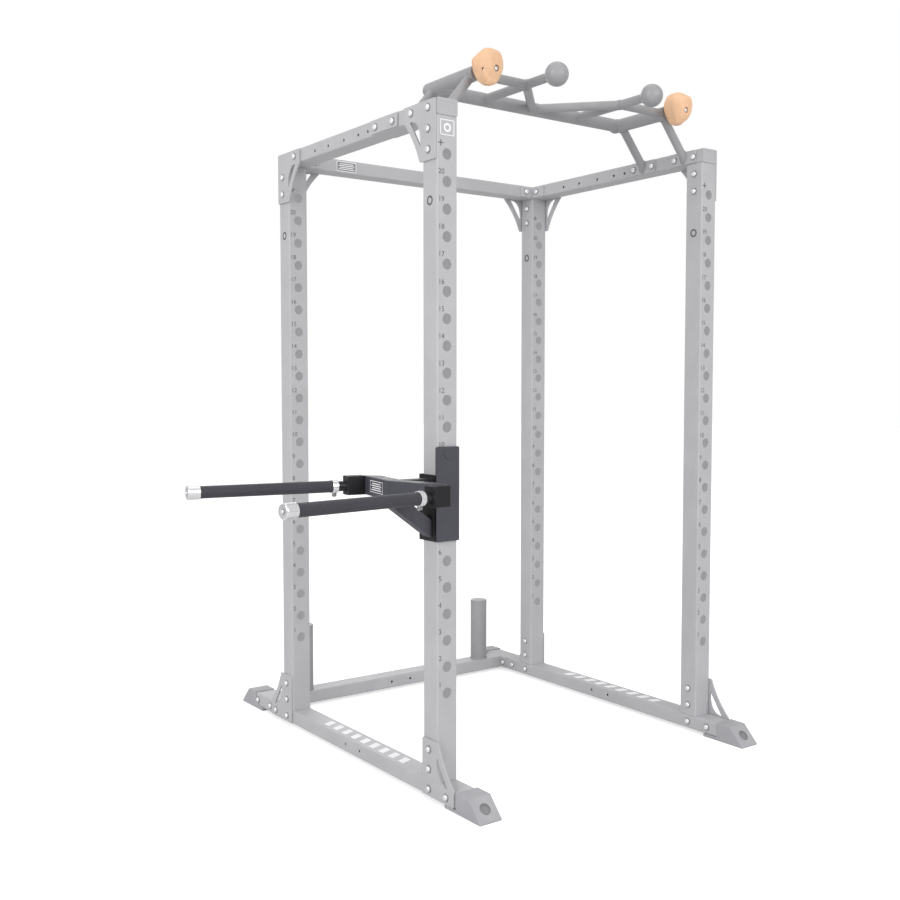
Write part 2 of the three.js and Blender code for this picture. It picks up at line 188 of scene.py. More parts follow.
def rounded(corners: Outline, radius: float, steps: int = 5) -> list[tuple[float, float]]:
    """Rounds every corner of a polygon.

    Args:
        corners: the polygon's corners in order.
        radius: the corner radius, reduced where the sides are short.
        steps: segments in each corner.

    Returns:
        The rounded outline.
    """
    points = [Vector(c) for c in corners]
    result = []
    for index, corner in enumerate(points):
        before = points[index - 1] - corner
        after = points[(index + 1) % len(points)] - corner
        half = before.angle(after) / 2
        back = min(radius / math.tan(half), before.length * 0.45, after.length * 0.45)
        start, end = corner + before.normalized() * back, corner + after.normalized() * back
        for step in range(steps + 1):
            t = step / steps
            weight = 2 * t * (1 - t) * math.sin(half) ** 0.5
            total = (1 - t) ** 2 + t**2 + weight
            result.append(tuple((start * (1 - t) ** 2 + corner * weight + end * t**2) / total))
    return result


def rectangle(width: float, height: float, radius: float = 0.0,
              centre: tuple[float, float] = (0, 0)) -> Outline:
    """A rectangle with rounded corners about a centre."""
    x, y = width / 2, height / 2
    corners = [(centre[0] + a * x, centre[1] + b * y) for a, b in ((-1, -1), (1, -1), (1, 1), (-1, 1))]
    return rounded(corners, radius) if radius else corners


def arc(centre: tuple[float, float], radius: float, start: float, end: float, steps: int) -> Outline:
    """Points on an arc, with angles in degrees."""
    angles = [math.radians(start + (end - start) * i / steps) for i in range(steps + 1)]
    return [(centre[0] + radius * math.cos(a), centre[1] + radius * math.sin(a)) for a in angles]


def quarter_turn(steps: int) -> list[float]:
    """The angles from 0 to 90 degrees, in radians."""
    return [math.pi / 2 * i / steps for i in range(steps + 1)]


def circle(radius: float, height: float, count: int) -> list[Point]:
    """Evenly spaced points round the third axis."""
    angles = [2 * math.pi * i / count for i in range(count)]
    return [(radius * math.cos(a), radius * math.sin(a), height) for a in angles]


def bend(start: tuple[float, float], pull: tuple[float, float], end: tuple[float, float],
         steps: int) -> list[tuple[float, float]]:
    """Points on a quadratic curve from start to end, drawn towards pull."""
    a, b, c = Vector(start), Vector(pull), Vector(end)
    return [tuple(a.lerp(b, t).lerp(b.lerp(c, t), t)) for t in (i / steps for i in range(steps + 1))]


def disc(radius: float, centre: tuple[float, float] = (0, 0)) -> Outline:
    """A round outline about a centre."""
    return [(centre[0] + x, centre[1] + y) for x, y, _ in circle(radius, 0, 48)]


class Workpiece:
    """A mesh being made, in rack millimetres, before it becomes a piece of the rack."""

    def __init__(self) -> None:
        """Starts with nothing."""
        self.bm = bmesh.new()
        self.bm.loops.layers.uv.new(WRAP)

    def prism(self, outer: Outline, depth: float, place: Matrix,
              holes: Sequence[Outline] = ()) -> "Workpiece":
        """Adds an outline, with holes, pushed along the place's third axis.

        Args:
            outer: the outline in the place's first two axes.
            depth: how far it is pushed.
            place: where it goes.
            holes: outlines of through holes.

        Returns:
            This workpiece.
        """
        made = bmesh.new()
        edges = []
        for loop in (outer, *holes):
            verts = [made.verts.new((*p, 0)) for p in loop]
            edges += [made.edges.new((verts[i - 1], verts[i])) for i in range(len(verts))]
        if holes:
            bmesh.ops.triangle_fill(made, edges=edges, use_beauty=True, use_dissolve=False)
        else:
            made.faces.new(made.verts[:])
        top = bmesh.ops.extrude_face_region(made, geom=made.faces[:])
        moved = [g for g in top["geom"] if isinstance(g, bmesh.types.BMVert)]
        bmesh.ops.translate(made, verts=moved, vec=(0, 0, depth))
        return self.take(made, place)

    def lathe(self, profile: Outline, place: Matrix, sides: int = 48, closed: bool = False) -> "Workpiece":
        """Adds a body turned about the place's third axis.

        Args:
            profile: (radius, height) points, ending on the axis or on themselves.
            place: where it goes.
            sides: segments round the axis.
            closed: True if the profile closes on itself.

        Returns:
            This workpiece.
        """
        made = bmesh.new()
        wrap = made.loops.layers.uv.new(WRAP)
        rings: list[Ring] = []
        for radius, height in profile:
            count = 1 if radius < 1e-6 else sides
            rings.append([made.verts.new(p) for p in circle(radius, height, sides)[:count]])
        pairs = list(zip(range(len(rings)), range(1, len(rings))))
        if closed:
            pairs.append((len(rings) - 1, 0))
        for low, high in pairs:
            for i in range(sides):
                self._patch(made, wrap, rings[low], rings[high], i, sides, profile[low][1], profile[high][1])
        return self.take(made, place)

    @staticmethod
    def _patch(made: bmesh.types.BMesh, wrap: bmesh.types.BMLayerItem, below: Ring, above: Ring, i: int,
               sides: int, low: float, high: float) -> None:
        """Adds one face between two rings, with the angle and the height as its wrap."""
        j = (i + 1) % sides
        corners = [(below, i, low), (below, i + 1, low), (above, i + 1, high), (above, i, high)]
        verts, spots = [], []
        for ring, k, height in corners:
            vert = ring[0] if len(ring) == 1 else ring[j if k == i + 1 else i]
            if vert not in verts:
                verts.append(vert)
                spots.append((k / sides, height * MM))
        if len(verts) > 2:
            face = made.faces.new(verts)
            for loop, spot in zip(face.loops, spots):
                loop[wrap].uv = spot

    def sweep(self, path: Sequence[Vector], radius: Callable[[int], float], sides: int = 10) -> "Workpiece":
        """Adds a closed ring of round section along a closed path."""
        made = bmesh.new()
        count = len(path)
        centre = sum(path, Vector()) / count
        rings = []
        for i, point in enumerate(path):
            ahead = (path[(i + 1) % count] - path[i - 1]).normalized()
            out = (point - centre).normalized()
            up = ahead.cross(out).normalized()
            out = up.cross(ahead)
            size = radius(i)
            angles = [2 * math.pi * k / sides for k in range(sides)]
            spokes = [out * math.cos(a) + up * math.sin(a) for a in angles]
            rings.append([made.verts.new(point + spoke * size) for spoke in spokes])
        for i in range(count):
            a, b = rings[i], rings[(i + 1) % count]
            for k in range(sides):
                made.faces.new((a[k - 1], a[k], b[k], b[k - 1]))
        return self.take(made, AS_MADE)

    def bevel(self, width: float, steps: int = 2) -> "Workpiece":
        """Rounds every sharp edge, with a width and a number of segments."""
        sharp = [e for e in self.bm.edges if e.is_manifold and e.calc_face_angle(0) > SHARP]
        bmesh.ops.bevel(self.bm, geom=sharp, offset=width, segments=steps, profile=0.6, affect="EDGES")
        return self

    def carve(self, tool: "Workpiece") -> "Workpiece":
        """Cuts another workpiece out of this one."""
        body, cutter = self._loose("carved"), tool._loose("cutter")
        cut = body.modifiers.new("cut", "BOOLEAN")
        cut.operation, cut.solver, cut.object = "DIFFERENCE", "EXACT", cutter
        graph = bpy.context.evaluated_depsgraph_get()
        result = bpy.data.meshes.new_from_object(body.evaluated_get(graph))
        self.bm.clear()
        self.bm.from_mesh(result)
        for loose in (body, cutter):
            data = loose.data
            bpy.data.objects.remove(loose)
            bpy.data.meshes.remove(data)
        bpy.data.meshes.remove(result)
        return self

    def sculpt(self, move: Callable[[Vector], Vector]) -> "Workpiece":
        """Moves every vertex to where a function puts it."""
        for vert in self.bm.verts:
            vert.co = move(vert.co)
        return self

    def dress(self, index: int, where: Callable[[Vector], bool]) -> "Workpiece":
        """Gives the faces whose centres are picked another of the piece's finishes."""
        for face in self.bm.faces:
            if where(face.calc_center_median()):
                face.material_index = index
        return self

    def piece(self, name: str, body: Body, slot: Slot, finish: "Finish", stands_for: Sequence[str] = (),
              place: Matrix = AS_MADE, more: Sequence["Finish"] = ()) -> bpy.types.Object:
        """Makes the object that the render shows.

        Args:
            name: the object's name.
            body: what it rides on.
            slot: the record's material slot; not used.
            finish: its material.
            stands_for: the CAD nodes that it replaces.
            place: a last transform in rack millimetres, which may mirror.
            more: the finishes of faces that were dressed, from index 1 on.

        Returns:
            The object.
        """
        bm = self.bm.copy()
        bm.transform(DATUM.matrix() @ place)
        bmesh.ops.recalc_face_normals(bm, faces=bm.faces[:])
        for face in bm.faces:
            face.smooth = True
        for edge in bm.edges:
            edge.smooth = not edge.is_manifold or edge.calc_face_angle(0) < SHARP
        mesh = bpy.data.meshes.new(name)
        bm.to_mesh(mesh)
        bm.free()
        for each in (finish, *more):
            mesh.materials.append(each.material())
        made = bpy.data.objects.new(name, mesh)
        bpy.context.scene.collection.objects.link(made)
        normals = made.modifiers.new("even_normals", "WEIGHTED_NORMAL")
        normals.keep_sharp = True
        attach(made, body.value)
        if stands_for:
            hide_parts(*stands_for)
        LOG.info("%s on %s", name, body.value)
        return made

    def fasten(self, name: str, place: Matrix = AS_MADE, body: Body = Body.RACK) -> None:
        """Makes an object of bolts on washers that are real but darkened as painted shade round the heads."""
        self.piece(name, body, Slot.CHROME, ZINC, place=place, more=[WASHER_PAINTED_SHADE])

    def take(self, made: bmesh.types.BMesh, place: Matrix) -> "Workpiece":
        """Moves a new mesh to its place and joins it to this one."""
        made.transform(place)
        bmesh.ops.recalc_face_normals(made, faces=made.faces[:])
        mesh = bpy.data.meshes.new("part")
        made.to_mesh(mesh)
        made.free()
        self.bm.from_mesh(mesh)
        bpy.data.meshes.remove(mesh)
        return self

    def _loose(self, name: str) -> bpy.types.Object:
        """An object of this mesh for a modifier to read."""
        mesh = bpy.data.meshes.new(name)
        self.bm.to_mesh(mesh)
        made = bpy.data.objects.new(name, mesh)
        bpy.context.scene.collection.objects.link(made)
        return made


# ------------------------------------------------------------------ shared surface effects
class Sheet:
    """A node tree with short ways to add and join nodes."""

    def __init__(self, tree: bpy.types.NodeTree) -> None:
        """Wraps a tree."""
        self.tree = tree

    def node(self, kind: str, **settings: object) -> bpy.types.Node:
        """Adds a node and sets its properties, or its inputs by position where a name is i0, i1 and so on."""
        made = self.tree.nodes.new(kind)
        for key, value in settings.items():
            if key[0] == "i" and key[1:].isdigit():
                target = made.inputs[int(key[1:])]
                if isinstance(value, bpy.types.NodeSocket):
                    self.tree.links.new(value, target)
                else:
                    target.default_value = value
            else:
                setattr(made, key, value)
        return made

    def math(self, operation: str, a: object, b: object = 0.0) -> bpy.types.NodeSocket:
        """The result of a two-number operation; a and b are numbers or sockets."""
        return self.node("ShaderNodeMath", operation=operation, i0=a, i1=b).outputs[0]

    def ramp(self, value: bpy.types.NodeSocket, low: float, high: float) -> bpy.types.NodeSocket:
        """Maps low..high to 0..1, clamped."""
        return self.node("ShaderNodeMapRange", i0=value, i1=low, i2=high, i3=0.0, i4=1.0).outputs[0]

    def mix(self, factor: object, a: object, b: object) -> bpy.types.NodeSocket:
        """Mixes two colours."""
        made = self.node("ShaderNodeMix", data_type="RGBA", i0=factor)
        for target, value in ((made.inputs[6], a), (made.inputs[7], b)):
            if isinstance(value, bpy.types.NodeSocket):
                self.tree.links.new(value, target)
            else:
                target.default_value = value
        return made.outputs[2]

    def noise(self, where: object, scale: object, detail: float = 3.0) -> bpy.types.NodeSocket:
        """A noise value about 0.5."""
        return self.node("ShaderNodeTexNoise", i0=where, i2=scale, i3=detail).outputs[0]


class Effect(Enum):
    """Node groups that several materials share."""

    GRAIN = "coat_grain"
    EDGES = "worn_edges"
    DUST = "settled_dust"

    def group(self) -> bpy.types.NodeTree:
        """The group, made the first time it is asked for."""
        return bpy.data.node_groups.get(self.value) or EFFECT_MAKERS[self]()


def new_group(effect: Effect, inputs: Sequence[tuple[str, float]],
              outputs: Sequence[str]) -> tuple[Sheet, bpy.types.Node, bpy.types.Node]:
    """Starts a group of float sockets.

    Args:
        effect: which group it is.
        inputs: names and default values.
        outputs: names.

    Returns:
        The sheet, the group's input node and its output node.
    """
    tree = bpy.data.node_groups.new(effect.value, "ShaderNodeTree")
    for name, value in inputs:
        socket = tree.interface.new_socket(name, in_out="INPUT", socket_type="NodeSocketFloat")
        socket.default_value = value
    for name in outputs:
        tree.interface.new_socket(name, in_out="OUTPUT", socket_type="NodeSocketFloat")
    sheet = Sheet(tree)
    return sheet, sheet.node("NodeGroupInput"), sheet.node("NodeGroupOutput")


def make_grain() -> bpy.types.NodeTree:
    """Orange-peel height and a slow mottle, for anything sprayed or moulded."""
    sheet, given, result = new_group(Effect.GRAIN, (("Scale", 700.0), ("Speckle", 0.3)),
                                     ("Height", "Mottle", "Fleck"))
    where = sheet.node("ShaderNodeTexCoord").outputs["Object"]
    peel = sheet.noise(where, given.outputs["Scale"], 4.0)
    fine = sheet.noise(where, sheet.math("MULTIPLY", given.outputs["Scale"], 3.7), 2.0)
    height = sheet.math("ADD", peel, sheet.math("MULTIPLY", fine, given.outputs["Speckle"]))
    slow = sheet.noise(where, 9.0, 4.0)
    sheet.tree.links.new(height, result.inputs["Height"])
    sheet.tree.links.new(sheet.ramp(slow, 0.32, 0.68), result.inputs["Mottle"])
    sheet.tree.links.new(sheet.ramp(fine, 0.56, 0.72), result.inputs["Fleck"])
    return sheet.tree


def make_edges() -> bpy.types.NodeTree:
    """A mask along worn edges: 1 on the edge, broken up by noise."""
    sheet, given, result = new_group(Effect.EDGES, (("Width", 0.0014), ("Wear", 0.6)), ("Mask",))
    soft = sheet.node("ShaderNodeBevel", samples=4, i0=given.outputs["Width"]).outputs[0]
    flat = sheet.node("ShaderNodeNewGeometry").outputs["Normal"]
    dot = sheet.node("ShaderNodeVectorMath", operation="DOT_PRODUCT", i0=soft, i1=flat).outputs["Value"]
    edge = sheet.ramp(sheet.math("SUBTRACT", 1.0, dot), 0.01, 0.16)
    where = sheet.node("ShaderNodeTexCoord").outputs["Object"]
    broken = sheet.ramp(sheet.noise(where, 55.0, 5.0), 0.42, 0.62)
    worn = sheet.math("MULTIPLY", edge, broken)
    sheet.tree.links.new(sheet.math("MULTIPLY", worn, given.outputs["Wear"]), result.inputs["Mask"])
    return sheet.tree


def make_dust() -> bpy.types.NodeTree:
    """A thin film on faces that look up."""
    sheet, given, result = new_group(Effect.DUST, (("Amount", 0.2),), ("Mask",))
    normal = sheet.node("ShaderNodeNewGeometry").outputs["Normal"]
    up = sheet.ramp(sheet.node("ShaderNodeSeparateXYZ", i0=normal).outputs[2], 0.5, 1.0)
    where = sheet.node("ShaderNodeTexCoord").outputs["Object"]
    patchy = sheet.ramp(sheet.noise(where, 22.0, 6.0), 0.35, 0.75)
    film = sheet.math("MULTIPLY", up, patchy)
    sheet.tree.links.new(sheet.math("MULTIPLY", film, given.outputs["Amount"]), result.inputs["Mask"])
    return sheet.tree


EFFECT_MAKERS = {Effect.GRAIN: make_grain, Effect.EDGES: make_edges, Effect.DUST: make_dust}


def paint(red: int, green: int, blue: int) -> tuple[float, float, float, float]:
    """A display colour of 0 to 255 as the linear colour that shaders take."""
    linear = [c / 3294.6 if c <= 10 else ((c / 255 + 0.055) / 1.055) ** 2.4 for c in (red, green, blue)]
    return (*linear, 1.0)


# ------------------------------------------------------------------ finishes
@dataclass(frozen=True)
class Finish:
    """A finish: a colour with grain, mottle, worn edges and dust over it."""

    name: str
    colour: tuple[float, float, float, float]
    mottle: float = 0.12
    roughness: float = 0.45
    spread: float = 0.12
    metallic: float = 0.0
    grain: float = 700.0
    speckle: float = 0.4
    depth: float = 0.00012
    worn: tuple[float, float, float, float] = paint(225, 225, 228)
    wear: float = 0.25
    dust: float = 0.1
    # Emission in the finish's own colour: painted light, for a surface that should look lit though no lamp
    # reaches it.
    glow: float = 0.0
    specular: float = 0.5

    EDGE_WIDTH = 0.0014
    BUMP_STRENGTH = 0.55
    DUST_COLOUR = paint(214, 212, 208)
    DUST_ROUGHNESS = 0.4

    def material(self) -> bpy.types.Material:
        """The material, made the first time it is asked for."""
        return bpy.data.materials.get(self.name) or self._make()

    def _make(self) -> bpy.types.Material:
        """Builds the node tree."""
        material = bpy.data.materials.new(self.name)
        material.use_nodes = True
        sheet = Sheet(material.node_tree)
        shader = material.node_tree.nodes["Principled BSDF"]
        grain = sheet.node("ShaderNodeGroup", node_tree=Effect.GRAIN.group(), i0=self.grain,
                           i1=self.speckle)
        edges = sheet.node("ShaderNodeGroup", node_tree=Effect.EDGES.group(), i0=self.EDGE_WIDTH,
                           i1=self.wear)
        dust = sheet.node("ShaderNodeGroup", node_tree=Effect.DUST.group(), i0=self.dust)
        shade = tuple(c * (1 - self.mottle) for c in self.colour[:3]) + (1.0,)
        light = tuple(min(1.0, c * (1 + self.mottle)) for c in self.colour[:3]) + (1.0,)
        colour = sheet.mix(grain.outputs["Mottle"], shade, light)
        colour = sheet.mix(sheet.math("MULTIPLY", grain.outputs["Fleck"], self.mottle), colour, self.worn)
        colour = sheet.mix(edges.outputs["Mask"], colour, self.worn)
        colour = sheet.mix(dust.outputs["Mask"], colour, self.DUST_COLOUR)
        rough = sheet.math("ADD", self.roughness - self.spread / 2,
                           sheet.math("MULTIPLY", grain.outputs["Mottle"], self.spread))
        rough = sheet.math("ADD", rough, sheet.math("MULTIPLY", dust.outputs["Mask"], self.DUST_ROUGHNESS))
        height = self._height(sheet, grain.outputs["Height"])
        bump = sheet.node("ShaderNodeBump")
        bump.inputs["Strength"].default_value = self.BUMP_STRENGTH
        bump.inputs["Distance"].default_value = self.depth
        links = material.node_tree.links
        links.new(height, bump.inputs["Height"])
        links.new(bump.outputs["Normal"], shader.inputs["Normal"])
        links.new(colour, shader.inputs["Base Color"])
        links.new(rough, shader.inputs["Roughness"])
        shader.inputs["Metallic"].default_value = self.metallic
        shader.inputs["Specular IOR Level"].default_value = self.specular
        # Painted light: the surface glows by itself.
        if self.glow:
            shader.inputs["Emission Color"].default_value = self.colour
            shader.inputs["Emission Strength"].default_value = self.glow
        return material

    def _height(self, sheet: Sheet, grain: bpy.types.NodeSocket) -> bpy.types.NodeSocket:
        """The height that feeds the bump: just the grain here."""
        return grain


@dataclass(frozen=True)
class RibbedFinish(Finish):
    """A sleeve with fine crossed ribs that follow its wrap."""

    around: float = 46.0
    pitch: float = 0.0026
    ribs: float = 1.6

    def _height(self, sheet: Sheet, grain: bpy.types.NodeSocket) -> bpy.types.NodeSocket:
        """Crossed helical ribs over the grain."""
        wrap = sheet.node("ShaderNodeUVMap", uv_map=WRAP).outputs[0]
        parts = sheet.node("ShaderNodeSeparateXYZ", i0=wrap)
        turn = sheet.math("MULTIPLY", parts.outputs[0], self.around * 2 * math.pi)
        rise = sheet.math("MULTIPLY", parts.outputs[1], 2 * math.pi / self.pitch)
        left = sheet.math("SINE", sheet.math("ADD", turn, rise))
        right = sheet.math("SINE", sheet.math("SUBTRACT", turn, rise))
        diamonds = sheet.math("MAXIMUM", left, right)
        return sheet.math("ADD", sheet.math("MULTIPLY", diamonds, self.ribs), grain)


FRAME_PAINT = Finish("light_grey_powder_coat", paint(182, 182, 185), mottle=0.035, roughness=0.46)
# Painted light: the tubes' insides are lightened and glow, so the holes look lit where they would lie in
# shade.
TUBE_INSIDE_PAINTED_LIGHT = Finish("tube_inside_painted_light", paint(163, 163, 165), mottle=0.05, roughness=0.6, glow=0.52)
# Painted shade: a darker copy of the shoe grey for the recess, standing in for the shade inside it.
SHOE_RECESS_PAINTED_SHADE = Finish("shoe_recess_painted_shade", paint(140, 140, 143), mottle=0.05, roughness=0.6, grain=1500.0,
                     wear=0.1)
DARK_PAINT = Finish("mid_grey_powder_coat", paint(154, 154, 157), mottle=0.06, roughness=0.36, grain=620.0)
SHOE_PLASTIC = Finish("grey_moulded_shoe", paint(166, 166, 170), mottle=0.05, roughness=0.62, grain=1500.0,
                      depth=0.0002, wear=0.12, dust=0.2)
CAP_PLASTIC = Finish("grey_moulded_cap", paint(178, 178, 181), mottle=0.04, roughness=0.55, grain=1600.0,
                     wear=0.1)
HOLD_RESIN = Finish("sandy_orange_resin", paint(238, 194, 156), mottle=0.09, roughness=0.82, grain=1300.0,
                    speckle=1.3, depth=0.0007, worn=paint(248, 214, 176), wear=0.35, dust=0.05)
BLACK_PAINT = Finish("charcoal_powder_coat", paint(64, 64, 73), mottle=0.12, roughness=0.46, grain=1100.0,
                     depth=0.0002, worn=paint(126, 126, 134), wear=0.3, dust=0.03)
# Painted shade: a darker, less glossy copy of the charcoal coat for the saddle's channel, the neck and the
# sockets, standing in for the shade on their sides.
SHADED_BLACK_PAINT = Finish("black_powder_coat_painted_shade", paint(30, 30, 34), mottle=0.12, roughness=0.5, grain=1100.0,
                     depth=0.0002, worn=paint(112, 112, 120), wear=0.35, dust=0.02, specular=0.25)
PIN_STEEL = Finish("blackened_steel", paint(34, 34, 38), mottle=0.12, roughness=0.34, metallic=0.4,
                   grain=900.0, worn=paint(150, 150, 152), wear=0.4, dust=0.02)
RUBBER = RibbedFinish("ribbed_black_rubber", paint(56, 56, 64), mottle=0.12, roughness=0.46, grain=1400.0,
                      depth=0.0003, worn=paint(92, 92, 98), wear=0.1, dust=0.04)
CHROME = Finish("chrome_plate", paint(200, 200, 207), mottle=0.02, roughness=0.34, spread=0.06, metallic=1.0,
                grain=260.0, speckle=0.1, depth=0.000006, worn=paint(240, 240, 242), wear=0.1, dust=0.0)
ZINC = Finish("bright_zinc", paint(246, 246, 250), mottle=0.05, roughness=0.34, spread=0.16, metallic=0.6,
              grain=480.0, depth=0.00006, worn=paint(255, 255, 255), wear=0.3, dust=0.0)
# Partly painted shade: the washers are real, and their dark grey stands in for the shadow ring round each
# bright head.
WASHER_PAINTED_SHADE = Finish("washer_painted_shade", paint(140, 140, 143), mottle=0.1, roughness=0.4, spread=0.1, metallic=0.5,
                grain=700.0)
LINER_PLASTIC = Finish("black_nylon_liner", paint(30, 30, 32), mottle=0.1, roughness=0.55, grain=1700.0,
                       wear=0.1)
WHITE_PRINT = Finish("white_print", paint(246, 246, 248), mottle=0.03, roughness=0.6, grain=1800.0, wear=0.0)
GREY_PRINT = Finish("dark_grey_print", paint(92, 92, 96), mottle=0.06, roughness=0.6, grain=1800.0, wear=0.0)
PLATE_FACE = Finish("label_plate_face", paint(138, 138, 142), mottle=0.05, roughness=0.4, grain=1500.0)
WELD = Finish("painted_weld", paint(150, 150, 153), mottle=0.1, roughness=0.4, grain=500.0, depth=0.0004)


# ------------------------------------------------------------------ fasteners
@dataclass(frozen=True)
class Bolt:
    """A dome-headed socket bolt on a washer."""

    head: float = 9.5
    height: float = 5.6
    washer: float = 12.5
    thickness: float = 2.0
    socket: float = 4.4
    depth: float = 3.4
    skirt: float = 1.4
    chamfer: float = 0.5

    SIDES = 24
    WASHER_SIDES = 28
    DOME = ((0.9, 0.62), (0.72, 0.88), (0.55, 1.0))

    def put(self, work: Workpiece, where: Point, out: Point) -> None:
        """Adds the bolt to a workpiece.

        Args:
            work: what it joins.
            where: the point on the surface under the washer.
            out: the direction that it faces.
        """
        place = aim(where, out)
        t, r, c = self.thickness, self.washer, self.chamfer
        before = len(work.bm.faces)
        washer = [(0, 0), (r - c, 0), (r, c), (r, t - c), (r - c, t), (0, t)]
        work.lathe(washer, place, self.WASHER_SIDES)
        work.bm.faces.ensure_lookup_table()
        # The washer's faces take the piece's second finish, which for bolts is darkened as painted shade.
        for face in work.bm.faces[before:]:
            face.material_index = 1
        self._head(work, place)

    def _head(self, work: Workpiece, place: Matrix) -> None:
        """Adds the dome with its six-sided socket."""
        made = bmesh.new()
        t, sides = self.thickness, self.SIDES
        dome = [(self.head, t), (self.head, t + self.skirt),
                *((self.head * across, t + self.height * up) for across, up in self.DOME)]
        rings = [[made.verts.new(p) for p in circle(r, z, sides)] for r, z in dome]
        for low, high in zip(rings, rings[1:]):
            for i in range(sides):
                made.faces.new((low[i - 1], low[i], high[i], high[i - 1]))
        made.faces.new(rings[0])
        rim, floor = ([made.verts.new(p) for p in circle(self.socket, z, HEXAGON)]
                      for z in (t + self.height, t + self.height - self.depth))
        part = sides // HEXAGON
        for k in range(HEXAGON):
            after = (k + 1) % HEXAGON
            outer = [rings[-1][(part * k + j) % sides] for j in range(part + 1)]
            made.faces.new((*outer, rim[after], rim[k]))
            made.faces.new((rim[k], rim[after], floor[after], floor[k]))
        made.faces.new(floor)
        work.take(made, place)


BOLT = Bolt()
SMALL_BOLT = Bolt(head=5.2, height=3.2, washer=7.2, thickness=1.2, socket=2.4, depth=2.0)
HOLD_BOLT = Bolt(head=6.6, height=4.6, washer=8.6, socket=3.2, depth=2.6)
HOLD_SCREW = Bolt(head=3.2, height=2.0, washer=4.2, thickness=0.8, socket=1.5, depth=1.2)


